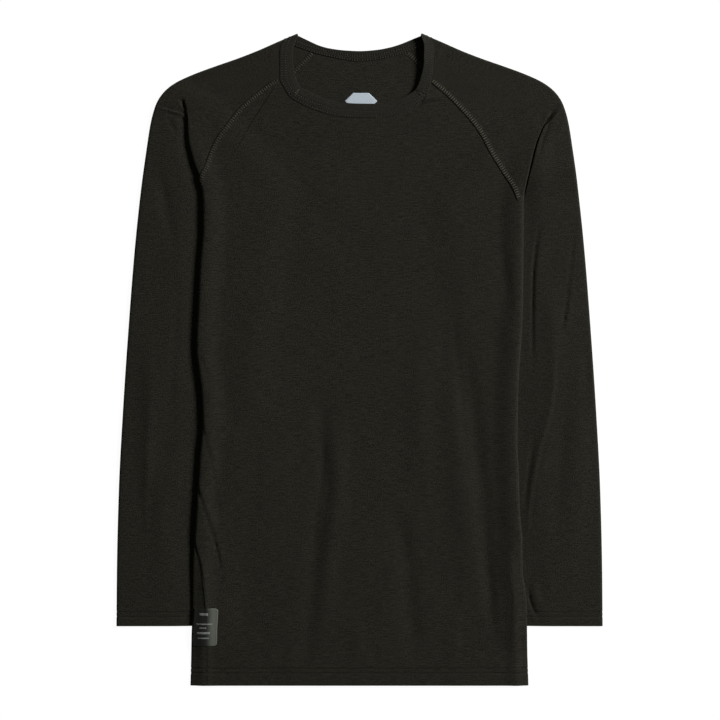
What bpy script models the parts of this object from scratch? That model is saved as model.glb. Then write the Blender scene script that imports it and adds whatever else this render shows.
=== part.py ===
"""Base layer top: a raglan, crew-necked, long-sleeved jersey top laid flat on its back.

The cloth is worked out as sheets.  A sheet is the outer face of one sewn piece, made of rows of
points, and Solidify gives it the thickness of the jersey towards the inside.  +Y points to the
neck, +X to the wearer's left and +Z up; the origin lies on the surface, under the middle.
Tables and functions work in millimetres, the meshes are in metres.
"""

import math
from collections import namedtuple

import bmesh
import bpy
import numpy as np

# ----------------------------------------------------------------------------- driving sizes

MM = 0.001

JERSEY = 1.0            # thickness of the body jersey
BAND_CLOTH = 1.5        # the neck band is folded double
LABEL_CLOTH = 0.8
SEAM_GAP = 0.3          # between two pieces at a seam
LABEL_LIFT = 0.3        # a label clear of the cloth it lies on
CARE_LIFT = 0.45        # the same, where the cloth is rounded
LAYER_GAP = 0.4         # between layers that lie on each other

HEM_Y = -352.1
CUFF_Y = -287.8
UNDERARM_Y = 170.0      # where side seam, underarm seam and both raglan seams meet
HEM_DEPTH = 12.5        # turned hem of the body
HEM_FULL_RAISE = 2.0    # it stands up in full where the cloth lies higher than this
CUFF_DEPTH = 10.5       # turned hem of the sleeve
TURNED_RAISE = 0.5      # how far a turned hem stands up
TURNED_STEP = 0.6       # length of its step
TURNED_RUN = 8.0        # it fades over this width towards the cloth above

SLEEVE_FLAT = 2.0 * JERSEY + LAYER_GAP          # sleeve pressed flat under the body: 2.4
UNDER_LIFT = SLEEVE_FLAT + LAYER_GAP            # body's underside where it lies on a sleeve: 2.8
UNDER_FADE_START = 4.0  # it comes down from this far below the cuffs
UNDER_FADE_LOW = 34.0   # over this length
UNDER_FADE_HIGH = 18.0  # and over this length above the underarm point
CHEST_HEIGHT = 3.8      # top of the front where it lies on the back
STACK_RISE = 1.8        # more where it lies on folded layers
STACK_BEFORE = 50.0     # this rise starts so far inside the layers' inner limit
STACK_RUN = 40.0        # and takes this width
EDGE_RISE = 2.9         # more again at the rolled side edge
HEM_EDGE_RISE = 1.4
ROLL_BEFORE = 28.0      # it starts so far inside the edge
ROLL_RUN = 22.0
NECK_RISE = 0.6         # more round the neckline, taken as an ellipse
NECK_MIDDLE_Y = 305.0
NECK_HALF_WIDTH = 85.0
NECK_HALF_DEPTH = 48.0
NECK_REACH = 1.9        # this rise has faded at so many times the ellipse
BAND_RISE = 0.2         # neck band above the cloth beside it
SLEEVE_CROWN = 1.5      # sleeve above its pressed height, once clear of the body
CROWN_PART = 0.35       # share of its width over which it rises
SLEEVE_FOLD_PART = 0.12     # share over which its folds come up beside the body
SETTLE_LENGTH = 26.0    # below the fold's apex the sleeve settles to its own height

EDGE_RADIUS = 3.8       # plan radius of the rolled side edge
SLEEVE_EDGE_RADIUS = 2.6
FOLD_RADIUS = 1.45      # outer face of a fresh fold
TURN_RADIUS = 0.2       # outer face inside a closed turn


CARE_TOP_Y = -268.4     # care label, over the wearer's right side edge
CARE_LENGTH = 40.5
CARE_WIDTH = 26.0
CARE_FROM_EDGE = 2.5
CARE_ROWS = 5
CARE_CELLS = 8
NECK_LABEL_X = 1.6      # middle of the neck label

JERSEY_COLOUR = (0.016, 0.0155, 0.012)
BAND_COLOUR = (0.0175, 0.0168, 0.0132)
WOVEN_COLOUR = (0.32, 0.36, 0.40)
SATIN_COLOUR = (0.20, 0.20, 0.19)
CLOTH_ROUGHNESS = 0.9
LABEL_ROUGHNESS = 0.55


def table(columns, *rows):
    """Name the columns of a short table and return each as an array."""
    return {name: np.array(values, float) for name, values in zip(columns.split(), zip(*rows))}


# Half width of the whole top, the same on both sides: shoulder line, then the sleeve's outer edge.
OUTLINE = table(
    "y half",
    (352.1, 67.5), (342.9, 89.2), (334.3, 108.6), (325.6, 130.8), (317.0, 155.5), (308.3, 179.0),
    (299.7, 197.5), (291.1, 209.2), (282.4, 216.3), (273.8, 220.6), (256.5, 225.5), (226.3, 230.3),
    (183.1, 236.2), (118.3, 243.0), (31.9, 249.8), (-54.5, 255.6), (-140.9, 260.1),
    (-227.3, 262.2), (-287.8, 262.7))

# One table a side, measured outwards from the middle.  fold: edge of the shoulder fold;
# tuck: how far in the folded layer reaches below it.
RIGHT_FOLD = table(
    "y fold tuck",
    (282.4, 189.5, 189.5), (263.0, 186.3, 172.0), (239.0, 185.2, 152.0), (215.5, 180.0, 131.0),
    (192.8, 172.3, 114.0), (180.0, 170.0, 108.5), (170.0, 169.3, 108.0))
LEFT_FOLD = table(
    "y fold tuck",
    (270.5, 207.9, 207.9), (246.8, 196.0, 180.0), (229.5, 189.5, 160.0), (206.8, 184.1, 135.0),
    (190.0, 180.0, 120.0), (180.0, 178.0, 114.5), (170.0, 177.0, 114.0))

# Seam between front panel and sleeve.
RIGHT_RAGLAN = table(
    "y x", (302.4, 85.9), (297.5, 94.5), (283.5, 113.9), (270.5, 129.1), (253.3, 140.9),
    (233.8, 152.8), (212.2, 161.0), (190.6, 164.0), (170.0, 165.5))
LEFT_RAGLAN = table(
    "y x", (301.9, 77.5), (287.8, 94.5), (273.8, 108.5), (260.8, 120.4), (244.6, 132.3),
    (224.1, 143.1), (204.7, 155.0), (186.3, 166.9), (170.0, 173.2))

# Seam between back panel and sleeve.
RIGHT_BACK_RAGLAN = table(
    "y x", (332.1, 50.2), (313.7, 68.0), (291.1, 84.0), (258.7, 97.0), (215.5, 104.0), (170.0, 106.0))
LEFT_BACK_RAGLAN = table(
    "y x", (332.1, 51.3), (313.7, 70.0), (291.1, 87.0), (258.7, 102.0), (215.5, 110.0), (170.0, 112.0))

# Side edge of the body, tucked under on both sides.
RIGHT_EDGE = table(
    "y x", (170.0, 169.3), (142.0, 169.3), (103.1, 172.3), (64.3, 174.2), (16.7, 176.3),
    (-41.6, 170.4), (-68.6, 169.5), (-99.9, 172.3), (-134.5, 174.4), (-177.7, 177.2),
    (-229.5, 180.1), (-268.4, 180.1), (-292.1, 181.2), (-352.1, 182.8))
LEFT_EDGE = table(
    "y x", (170.0, 177.0), (75.1, 176.6), (36.2, 175.5), (-22.1, 171.7), (-61.0, 170.7),
    (-90.2, 170.3), (-119.3, 171.7), (-158.2, 172.7), (-197.1, 175.5), (-226.3, 176.0),
    (-264.1, 180.7), (-292.1, 180.9), (-352.1, 182.6))

# Inner edge of the sleeve, hidden below the body.
RIGHT_UNDERARM = table("y x", (170.0, 108.0), (60.0, 126.0), (-60.0, 143.0), (-180.0, 160.0), (-287.8, 172.0))
LEFT_UNDERARM = table("y x", (170.0, 114.0), (60.0, 130.0), (-60.0, 145.0), (-180.0, 158.0), (-287.8, 170.0))

# Side seam: way round the body's edge from its outermost line, on to the underside (+) or the
# top (-).  Above the first row it runs on to the underarm point.
SIDE_SEAM = table(
    "y round", (60.0, 46.0), (-40.0, 29.0), (-110.0, 15.0), (-160.0, 6.5), (-190.6, 1.0),
    (-215.5, -4.5), (-234.9, -9.5), (-254.3, -13.0), (-308.3, -17.0), (-352.1, -18.5))

# Neck band from the wearer's right shoulder peak round the front to the left one: its sewn edge
# and its free edge.
FRONT_BAND = table(
    "seam_x seam_y free_x free_y",
    (-82.6, 345.7, -67.5, 352.1), (-84.8, 338.6, -71.0, 340.0), (-86.4, 325.6, -72.2, 326.0),
    (-85.9, 302.4, -69.0, 304.0), (-81.5, 293.2, -66.5, 298.5), (-75.1, 283.5, -63.2, 293.5),
    (-63.2, 275.9, -53.0, 288.5), (-45.9, 268.4, -40.0, 282.5), (-26.5, 263.0, -24.0, 277.8),
    (0.5, 260.8, 0.5, 276.0), (20.0, 260.8, 17.0, 275.9), (44.8, 266.2, 37.0, 279.4),
    (61.0, 272.7, 51.0, 285.0), (71.8, 284.0, 60.5, 291.5), (77.5, 301.9, 66.0, 304.0),
    (79.6, 322.0, 69.6, 322.0), (80.2, 335.0, 69.7, 339.0), (79.4, 347.0, 67.5, 352.1))
CORNER_ROWS = (3, 14)   # rows of the table above where the raglan seams meet the band
MITRE_ROWS = (5, 13)    # where the band's front part is joined to the rest

# The band on the back, from the left peak to the right one.
BACK_BAND = table(
    "seam_x seam_y free_x free_y",
    (79.4, 347.0, 67.5, 352.1), (51.3, 332.1, 47.0, 341.6), (37.3, 328.2, 34.0, 337.4),
    (20.0, 324.5, 18.0, 334.4), (0.5, 322.6, 0.5, 333.2), (-16.7, 324.5, -15.5, 333.9),
    (-36.2, 328.4, -33.0, 336.2), (-50.2, 332.1, -46.0, 340.0), (-82.6, 345.7, -67.5, 352.1))
BACK_CORNER_ROWS = (7, 1)   # rows of the table above where the back raglan seams meet the band

# Neck label, down from its top edge: half its width.
NECK_LABEL = table("y half", (288.1, 8.5), (279.8, 17.0), (278.8, 17.0), (271.0, 8.5))

# Large soft folds: troughs are negative.  Each row is a point of the fold's line, with its height
# and its half width there.
FRONT_FOLDS = {
    "middle_trough": table(
        "x y height wide", (-41.6, -30.0, 0.0, 9.0), (-39.4, -95.0, -1.1, 9.0),
        (-36.0, -135.0, -1.2, 9.0), (-44.8, -190.6, -1.1, 10.0), (-51.3, -268.4, -0.9, 10.0),
        (-61.0, -330.0, -0.3, 10.0)),
    "middle_ridge": table(
        "x y height wide", (-27.0, -60.0, 0.0, 11.0), (-25.5, -130.0, 1.3, 11.0),
        (-30.8, -180.0, 1.2, 12.0), (-38.0, -240.0, 0.9, 12.0), (-47.0, -310.0, 0.2, 12.0)),
    "left_trough": table(
        "x y height wide", (113.0, 25.0, 0.0, 10.0), (120.4, -41.6, -1.1, 10.0),
        (128.0, -105.3, -1.3, 10.0), (134.0, -160.0, -1.2, 10.0), (140.9, -248.9, -0.8, 9.0),
        (145.0, -315.0, 0.0, 9.0)),
    "left_ridge": table(
        "x y height wide", (92.0, 10.0, 0.0, 14.0), (100.0, -60.0, 1.2, 15.0),
        (108.0, -130.0, 1.3, 15.0), (117.0, -210.0, 0.9, 14.0), (124.0, -290.0, 0.0, 14.0)),
    "low_trough": table(
        "x y height wide", (36.0, -150.0, 0.0, 9.0), (49.1, -207.9, -1.0, 10.0),
        (54.5, -270.0, -1.1, 10.0), (60.0, -325.0, -0.2, 10.0)),
    "chest_swell": table(
        "x y height wide", (70.0, 40.0, 0.0, 16.0), (66.0, -40.0, 1.1, 16.0),
        (66.0, -95.0, 0.9, 16.0), (72.0, -150.0, 0.0, 16.0)),
    "right_swell": table(
        "x y height wide", (-110.0, 90.0, 0.0, 26.0), (-104.0, 0.0, 0.9, 26.0),
        (-100.0, -110.0, 1.0, 26.0), (-105.0, -230.0, 0.2, 26.0)),
}
SLEEVE_FOLDS = {
    "right_sleeve": {
        "upper_trough": table(
            "x y height wide", (222.0, 215.0, 0.0, 7.0), (210.0, 172.0, -0.7, 8.0),
            (203.6, 125.0, 0.0, 8.0)),
        "long_ridge": table(
            "x y height wide", (226.0, 40.0, 0.0, 10.0), (226.5, -40.0, 1.1, 10.0),
            (228.0, -110.0, 1.0, 10.0), (227.0, -165.0, 0.0, 10.0)),
        "low_ridge": table(
            "x y height wide", (214.0, -110.0, 0.0, 9.0), (214.5, -180.0, 1.0, 9.0),
            (213.0, -235.0, 0.0, 9.0)),
    },
    "left_sleeve": {
        "slant_ridge": table(
            "x y height wide", (204.0, 85.0, 0.0, 9.0), (209.5, 30.0, 1.4, 9.0),
            (210.5, -31.9, 1.7, 9.0), (203.6, -75.0, 1.7, 9.0), (193.0, -115.0, 1.5, 9.0),
            (186.0, -160.0, 0.9, 8.0), (181.0, -205.0, 0.0, 8.0)),
        "elbow_swell": table(
            "x y height wide", (236.0, 20.0, 0.0, 12.0), (236.0, -90.0, 0.9, 13.0),
            (232.0, -180.0, 0.7, 13.0), (228.0, -240.0, 0.0, 12.0)),
    },
}

# Rows below the shoulder fold's apex: how far down, and how far the cloth has turned there.
CLOSED = 180.0
FOLD_START = table("down turn", (0.0, 0.0), (5.0, 60.0), (11.0, 120.0), (18.0, CLOSED))
FOLD_OPEN_WIDTH = 8.0   # plan width that the fold's cells take where the cloth is still flat
FOLD_SHARES = (0.45, 0.19, 0.18, 0.18)  # of that width, for the fold, the layer and two half turns
OVER_LENGTH = 3.0       # length of cloth in the opening fold's upper bend,
LAYER_LENGTH = 0.6      # between its bends
UNDER_LENGTH = 1.0      # and in the lower one
FOLD_LEAN = 1.5         # how soon its upper bend stands inside the fold's line
FOLD_WIDEN_PART = 0.7   # share of the armhole over which the fold's edge widens

# Cells along each stretch of a sleeve's row, from the front seam over the top and round.
SLEEVE_CELLS = dict(top=3, fold=5, layer=2, turn=2, below=2, open=6, rim=4, back=3)
FAN_ROWS = 4            # rows between neck seam and the shoulder fold's apex
ARMHOLE_ROWS = 5        # rows below the finished fold, down to the underarm point
ROW_STEP = 32.0         # between rows of the sleeve's tube and of the body
ROUNDING_STEP = 11.0    # between rows where the side seam goes round the edge
ROUNDING_Y = (-140.0, -250.0)
CURL_STEPS = (3.0, 8.0, 14.0, 22.0)     # rows just below the underarm point
CURL_LENGTH = 20.0      # over this length the sleeve's edges there turn in to meet
CURL_ANGLE = math.radians(83.0)         # how far each of them has turned in then
CENTRE_CELLS = 22       # across the front between its two split lines
OUTER_CELLS = 3         # from a split line to the rolled edge
ROUND_CELLS = 7         # round the edge to the side seam
BACK_SIDE_CELLS = 6     # back panel from the side seam to where it lies flat
BACK_CENTRE_CELLS = 6
EDGE_CELL = 1.5         # width of the cells next to the back raglan seam
CORNER_CLEAR = 0.4      # panels keep this far along the band from a raglan corner
CLEAR_OF_EDGE = 2.5     # the sleeve starts to rise this far outside a fold
NECK_FOLD_PART = 0.62   # where the fold's cells lie along the neck seam
SPLIT_IN = 40.0         # split line inwards from the edge
LEAST_ROUND = 8.0       # the front's rounded stretch is at least this long
BEND_MARGIN = 2.2       # for the slant of the side seam where it rounds the edge
RAMP_START = 40.0       # back panel leaves the surface this far inside the sleeve's inner edge
RAMP_END = 8.0
FINE = dict(top=24, rounded=12, below=40)   # cells of a section before it is sampled
TURN_WEIGHT = 30.0      # millimetres of length that one radian of turn counts for, in sampling

BAND_SIDE_CELLS = 5
BAND_CROWN = 0.3        # the band's middle above its edges
BAND_CROWN_RUN = 12.0   # it starts this far from a shoulder peak
PEAK_CLEAR = 0.45       # sleeve keeps this far from the band along the shoulder line

# ------------------------------------------------------------------------------------ helpers


def smooth_step(value):
    """Run from 0 to 1 with flat ends."""
    value = np.clip(value, 0.0, 1.0)
    return value * value * (3.0 - 2.0 * value)


def smooth_through(keys, values):
    """Return a function that runs smoothly through the pairs and never overshoots them."""
    keys = np.asarray(keys, float)
    values = np.asarray(values, float)
    if keys[0] > keys[-1]:
        keys = keys[::-1]
        values = values[::-1]
    steps = np.diff(keys)
    slopes = np.diff(values) / steps
    before, after = slopes[:-1], slopes[1:]
    inner = np.where(before * after > 0.0, 2.0 * before * after / (before + after + 1e-12), 0.0)
    tangents = np.concatenate(([slopes[0]], inner, [slopes[-1]]))

    def value_at(key):
        key = np.clip(np.asarray(key, float), keys[0], keys[-1])
        cell = np.clip(np.searchsorted(keys, key, side="right") - 1, 0, len(steps) - 1)
        step = steps[cell]
        part = (key - keys[cell]) / step
        rest = 1.0 - part
        return ((1.0 + 2.0 * part) * rest ** 2 * values[cell]
                + part * rest ** 2 * step * tangents[cell]
                + part ** 2 * (3.0 - 2.0 * part) * values[cell + 1]
                - part ** 2 * rest * step * tangents[cell + 1])

    return value_at


def length_along(points):
    """Distance from the first point to each point of a line."""
    points = np.asarray(points, float)
    steps = np.linalg.norm(np.diff(points, axis=0), axis=1)
    return np.concatenate(([0.0], np.cumsum(steps)))


Side = namedtuple("Side", "name sign apex_y fold tuck raglan back_raglan edge inner corner_y back_y")


def make_side(name, sign, fold, raglan, back_raglan, edge, underarm):
    """Turn one side's tables into smooth functions of y, measured outwards from the middle."""
    return Side(
        name, sign, fold["y"][0],
        smooth_through(fold["y"], fold["fold"]), smooth_through(fold["y"], fold["tuck"]),
        smooth_through(raglan["y"], raglan["x"]), smooth_through(back_raglan["y"], back_raglan["x"]),
        smooth_through(edge["y"], edge["x"]), smooth_through(underarm["y"], underarm["x"]),
        raglan["y"][0], back_raglan["y"][0])


RIGHT = make_side("right_sleeve", -1, RIGHT_FOLD, RIGHT_RAGLAN, RIGHT_BACK_RAGLAN, RIGHT_EDGE,
                  RIGHT_UNDERARM)
LEFT = make_side("left_sleeve", 1, LEFT_FOLD, LEFT_RAGLAN, LEFT_BACK_RAGLAN, LEFT_EDGE,
                 LEFT_UNDERARM)

outline_length = length_along(np.stack([OUTLINE["half"], OUTLINE["y"]], axis=1))
outline_x = smooth_through(outline_length, OUTLINE["half"])
outline_y = smooth_through(outline_length, OUTLINE["y"])
outline_way = smooth_through(OUTLINE["y"], outline_length)


def beside(curve, y, gap):
    """x at a distance beside a seam whose x is a function of y, measured square to the seam."""
    slope = float(curve(y + 1.0) - curve(y - 1.0)) / 2.0
    return float(curve(y)) + gap * math.sqrt(1.0 + slope * slope)


def outline_point(way):
    """Point and outward direction in plan at a distance along the outline."""
    ahead = np.array([outline_x(way + 2.0), outline_y(way + 2.0)])
    behind = np.array([outline_x(way - 2.0), outline_y(way - 2.0)])
    run = (ahead - behind) / np.linalg.norm(ahead - behind)
    return np.array([outline_x(way), outline_y(way)]), np.array([-run[1], run[0]])


# ------------------------------------------------------------------------------------ heights


def fold_height(folds, x, y):
    """Sum of the soft ridges and troughs at the points of one row or grid."""
    x = np.asarray(x, float)
    y = np.broadcast_to(np.asarray(y, float), x.shape)
    total = np.zeros_like(x)
    for fold in folds.values():
        order = np.argsort(fold["y"])
        line_x = smooth_through(fold["y"], fold["x"])(y)
        wide = np.interp(y, fold["y"][order], fold["wide"][order])
        height = smooth_through(fold["y"], fold["height"])(y)
        inside = (y < fold["y"].max()) & (y > fold["y"].min())
        total += np.where(inside, height * np.exp(-((x - line_x) / wide) ** 2), 0.0)
    return total


def under_lift(y):
    """How high the body's underside lies at its sides: on the sleeve, and down at the hem."""
    below_cuff = smooth_step(1.0 - (CUFF_Y - UNDER_FADE_START - y) / UNDER_FADE_LOW)
    above_underarm = smooth_step((UNDERARM_Y + UNDER_FADE_HIGH - y) / UNDER_FADE_HIGH)
    return UNDER_LIFT * below_cuff * above_underarm


def stack_line(side, y):
    """Inner limit of the layers that lie under the front."""
    above = side.tuck(y) + 2.0 * np.maximum(y - side.apex_y, 0.0)
    return np.where(y > UNDERARM_Y, above, side.inner(y))


def top_height(side, x, y):
    """Height of the front's or the shoulder's outer face, x measured outwards."""
    x = np.asarray(x, float)
    low = under_lift(np.minimum(y, UNDERARM_Y)) / UNDER_LIFT
    edge = np.where(y > UNDERARM_Y, side.fold(y), side.edge(y))
    down = np.clip((side.apex_y - y) / (side.apex_y - UNDERARM_Y), 0.0, 1.0)
    rise = (EDGE_RISE * low + HEM_EDGE_RISE * (1.0 - low)) * down
    stacked = STACK_RISE * low * smooth_step((x - stack_line(side, y) + STACK_BEFORE) / STACK_RUN)
    rolled = rise * smooth_step((x - edge + ROLL_BEFORE) / ROLL_RUN)
    neck_far = np.hypot(x / NECK_HALF_WIDTH, (y - NECK_MIDDLE_Y) / NECK_HALF_DEPTH)
    neck = NECK_RISE * smooth_step((NECK_REACH - neck_far) / (NECK_REACH - 1.0))
    folds = fold_height(FRONT_FOLDS, side.sign * x, y)
    return CHEST_HEIGHT + stacked + rolled + neck + folds


def back_height(side, x, y):
    """Height of the outer face of the body's underside."""
    ramp = (np.asarray(x, float) - (side.inner(y) - RAMP_START)) / (RAMP_START - RAMP_END)
    return under_lift(y) * smooth_step(ramp)


def sleeve_height(side, x, y, from_x, to_x):
    """Height of the sleeve's outer face between the body's edge and its own."""
    x = np.asarray(x, float)
    part = (x - from_x) / (to_x - from_x)
    crown = SLEEVE_CROWN * smooth_step(part / CROWN_PART)
    folds = fold_height(SLEEVE_FOLDS[side.name], x, y) * smooth_step(part / SLEEVE_FOLD_PART)
    return SLEEVE_FLAT + crown + folds


def turned_raise(y, end_y, depth):
    """A turned hem stands up along the end of a piece."""
    return TURNED_RAISE * np.where(np.asarray(y) < end_y + depth, 1.0, 0.0)


# ------------------------------------------------------------------------------------- sleeve


def arc(centre_x, centre_z, radius_x, radius_z, start, end, cells):
    """Points of an elliptical arc in a row's own plane; angles from +x towards +z, in degrees."""
    angle = np.radians(np.linspace(start, end, cells + 1))
    return np.stack([centre_x + radius_x * np.cos(angle), centre_z + radius_z * np.sin(angle)], axis=1)


def run(start_x, end_x, heights, cells):
    """Points of a level stretch whose height is a function of x."""
    x = np.linspace(start_x, end_x, cells + 1)
    return np.stack([x, heights(x) * np.ones_like(x)], axis=1)


def join(parts):
    """Chain stretches whose ends meet."""
    return np.concatenate([parts[0]] + [part[1:] for part in parts[1:]])


def fold_section(side, y, start_x, turn, cells):
    """Section of the shoulder fold at one row: over, back under the top, and out again."""
    top_z = float(top_height(side, start_x, y))
    if turn == 0.0:
        counts = (cells["fold"], cells["layer"], cells["turn"], cells["turn"])
        at = start_x
        parts = []
        for count, share in zip(counts, FOLD_SHARES):
            width = share * FOLD_OPEN_WIDTH
            parts.append(run(at, at + width, lambda x: top_height(side, x, y), count))
            at += width
        return parts
    angle = math.radians(turn)
    if turn == CLOSED:
        over_z = (top_z - UNDER_LIFT) / 2.0
        over_x = fold_edge_radius(side, y)
        under_r = TURN_RADIUS
        straight = start_x - (float(side.tuck(y)) + under_r)
    else:
        over_x = over_z = max(FOLD_RADIUS, OVER_LENGTH / angle)
        under_r = max(TURN_RADIUS, UNDER_LENGTH / angle)
        straight = LAYER_LENGTH
    heading = np.linspace(0.0, angle, cells["fold"] + 1)
    over = np.stack([start_x + over_x * np.sin(heading), top_z - over_z * (1.0 - np.cos(heading))], axis=1)
    way = np.linspace(0.0, straight, cells["layer"] + 1)[:, None]
    layer = over[-1] + way * np.array([[math.cos(angle), -math.sin(angle)]])
    heading = np.linspace(angle, 0.0, 2 * cells["turn"] + 1)
    back_x = under_r * (math.sin(angle) - np.sin(heading))
    back_z = -under_r * (np.cos(heading) - math.cos(angle))
    turned = layer[-1] + np.stack([back_x, back_z], axis=1)
    middle = cells["turn"]
    return [over, layer, turned[:middle + 1], turned[middle:]]


def fold_edge_radius(side, y):
    """Plan radius of the fold's edge: tight at the apex, that of the body's edge lower down."""
    down = (side.apex_y - y) / (side.apex_y - UNDERARM_Y)
    return FOLD_RADIUS + (EDGE_RADIUS - FOLD_RADIUS) * float(smooth_step(down / FOLD_WIDEN_PART))


def outer_rim(way, height, cells):
    """Points over the rolled outer edge in space, from its top to the surface."""
    point, outward = outline_point(way)
    angle = np.radians(np.linspace(90.0, -90.0, cells + 1))
    out = SLEEVE_EDGE_RADIUS * (np.cos(angle) - 1.0)
    rim = np.empty((cells + 1, 3))
    rim[:, :2] = point + out[:, None] * outward
    rim[:, 2] = height / 2.0 * (1.0 + np.sin(angle))
    return rim


def lay(section, y):
    """Put a row's (x, z) section into space."""
    return np.stack([section[:, 0], np.full(len(section), float(y)), section[:, 1]], axis=1)


def between(start, end, heights, cells):
    """Straight stretch in plan whose height is a function of x and y."""
    part = np.linspace(0.0, 1.0, cells + 1)[:, None]
    plan = np.asarray(start)[None, :2] * (1.0 - part) + np.asarray(end)[None, :2] * part
    return np.column_stack([plan, heights(plan[:, 0], plan[:, 1]) * np.ones(cells + 1)])


def shoulder_rows(side, cells, fan_rows):
    """Rows from the neck seam to the fold's apex, each from raglan seam to raglan seam."""
    seam_line = neck_seam_line(side)
    start_way = float(outline_way(seam_line(1.0)[1] + SLEEVE_EDGE_RADIUS))
    apex_way = float(outline_way(side.apex_y))
    apex_seam = float(side.raglan(side.apex_y))
    apex_end = float(outline_x(apex_way)) - SLEEVE_EDGE_RADIUS
    apex_part = (float(side.fold(side.apex_y)) - apex_seam) / (apex_end - apex_seam)
    top_counts = (cells["top"], cells["fold"] + cells["layer"] + 2 * cells["turn"], cells["below"],
                  cells["open"])
    rows = []
    for index in range(fan_rows):
        part = index / fan_rows
        way = start_way + (apex_way - start_way) * part
        front_y = side.corner_y + (side.apex_y - side.corner_y) * part
        back_y = side.back_y + (side.apex_y - side.back_y) * part
        front = np.array([beside(side.raglan, front_y, SEAM_GAP / 2.0), front_y])
        back = np.array([beside(side.back_raglan, back_y, SEAM_GAP / 2.0), back_y])
        point, outward = outline_point(way)
        shoulder = point - outward * SLEEVE_EDGE_RADIUS
        if index == 0:
            front, shoulder = seam_line(0.0), seam_line(1.0)
            back = back - np.array([0.0, SEAM_GAP])
        length = np.linalg.norm(shoulder - front)
        middle = NECK_FOLD_PART + (apex_part - NECK_FOLD_PART) * part
        half = FOLD_OPEN_WIDTH / 2.0 / length
        stops = (0.0, middle - half, middle + half, middle + half + CLEAR_OF_EDGE / length, 1.0)
        fractions = join([np.linspace(a, b, count + 1)
                          for a, b, count in zip(stops, stops[1:], top_counts)])
        curve = np.array([seam_line(fraction) for fraction in fractions])
        straight = curve[0] + fractions[:, None] * (curve[-1] - curve[0])
        plan = front + fractions[:, None] * (shoulder - front) + (curve - straight) * (1.0 - part) ** 2
        top = np.column_stack([plan, top_height(side, plan[:, 0], plan[:, 1])])
        rim = outer_rim(way, top[-1, 2], cells["rim"])
        rim[:, :2] += plan[-1] - rim[0, :2]
        rows.append(join([top, rim] + back_layer(rim[-1], back, cells)))
    return rows


def back_layer(start, seam, cells):
    """Stretch of the sleeve's row on the surface, from its outer edge to the back raglan seam."""
    start, seam = np.asarray(start)[:2], np.asarray(seam)
    toward = (start - seam) / np.linalg.norm(start - seam)
    near = seam + toward * EDGE_CELL * cells["turn"]

    def on_surface(x, y):
        return 0.0 * x

    return [between(start, near, on_surface, cells["back"]), between(near, seam, on_surface, cells["turn"])]


def armhole_rows(side, cells, armhole_stations):
    """Rows from the fold's apex to the underarm point."""
    rows = []
    for y, turn in armhole_stations:
        down = side.apex_y - y
        fold_x = float(side.fold(y))
        if turn == 0.0:
            start_x = fold_x - FOLD_OPEN_WIDTH / 2.0
        elif turn < CLOSED:
            radius = max(FOLD_RADIUS, OVER_LENGTH / math.radians(turn))
            start_x = fold_x - radius * min(1.0, FOLD_LEAN * turn / CLOSED)
        else:
            start_x = fold_x - fold_edge_radius(side, y)
        seam_x = min(beside(side.raglan, y, SEAM_GAP / 2.0), start_x)
        if y <= UNDERARM_Y + SEAM_GAP:
            seam_x = start_x
        top = run(seam_x, start_x, lambda x: top_height(side, x, y), cells["top"])
        fold = fold_section(side, y, start_x, turn, cells)
        inner_end = fold[-1][-1]
        way = float(outline_way(y))
        point, outward = outline_point(way)
        shoulder = point - outward * SLEEVE_EDGE_RADIUS
        below_end = max(inner_end[0] + CLEAR_OF_EDGE, fold_x + 1.0)
        settled = float(smooth_step(down / SETTLE_LENGTH))

        def open_height(x, row_y):
            low = sleeve_height(side, x, row_y, below_end, shoulder[0])
            return top_height(side, x, row_y) * (1.0 - settled) + low * settled

        open_start = float(open_height(np.array([below_end]), y)[0])
        below = run(inner_end[0], below_end,
                    lambda x: inner_end[1] + (open_start - inner_end[1])
                    * smooth_step((x - inner_end[0]) / (below_end - inner_end[0])), cells["below"])
        opened = between((below_end, y), shoulder, open_height, cells["open"])
        rim = outer_rim(way, opened[-1, 2], cells["rim"])
        section = join([top] + fold + [below])
        back = back_layer(rim[-1], (beside(side.back_raglan, y, SEAM_GAP / 2.0), y), cells)
        rows.append(join([lay(section, y), opened, rim] + back))
    return rows


def arm_rows(side, cells, stations, first_row):
    """Rows of the sleeve's tube from the underarm point to the cuff, slit along its inner edge."""
    rows = [first_row]
    for y in stations:
        inner_x = float(side.inner(y)) + SLEEVE_FLAT / 2.0
        raised = float(turned_raise(y, CUFF_Y, CUFF_DEPTH))
        way = float(outline_way(y))
        point, outward = outline_point(way)
        shoulder = point - outward * SLEEVE_EDGE_RADIUS
        below_end = float(side.edge(y)) + 1.0
        curl = inner_curl(y, cells["turn"])
        upper = np.array([inner_x, SLEEVE_FLAT]) - curl[::-1]
        below = run(inner_x, below_end, lambda x: SLEEVE_FLAT + 0.0 * x, cells["below"])
        opened = between(
            (below_end, y), shoulder,
            lambda x, row_y: sleeve_height(side, x, row_y, below_end, shoulder[0])
            + raised * smooth_step((x - below_end) / TURNED_RUN), cells["open"])
        rim = outer_rim(way, opened[-1, 2], cells["rim"])
        back = between(rim[-1], (inner_x, y), lambda x, row_y: 0.0 * x, cells["back"])
        lower = np.array([inner_x, 0.0]) + curl * np.array([-1.0, 1.0])
        rows.append(join([lay(upper, y), lay(below, y), opened, rim, back, lay(lower, y)]))
    return rows


def inner_curl(y, cells):
    """How far in and across the sleeve's inner edge turns, one half of it; flat at the underarm."""
    radius = SLEEVE_FLAT / 2.0
    curled = float(smooth_step((UNDERARM_Y - y) / CURL_LENGTH))
    angle = np.linspace(0.0, CURL_ANGLE * curled, cells + 1)
    return radius / curled * np.stack([np.sin(angle), 1.0 - np.cos(angle)], axis=1)


# --------------------------------------------------------------------------------------- body


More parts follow.
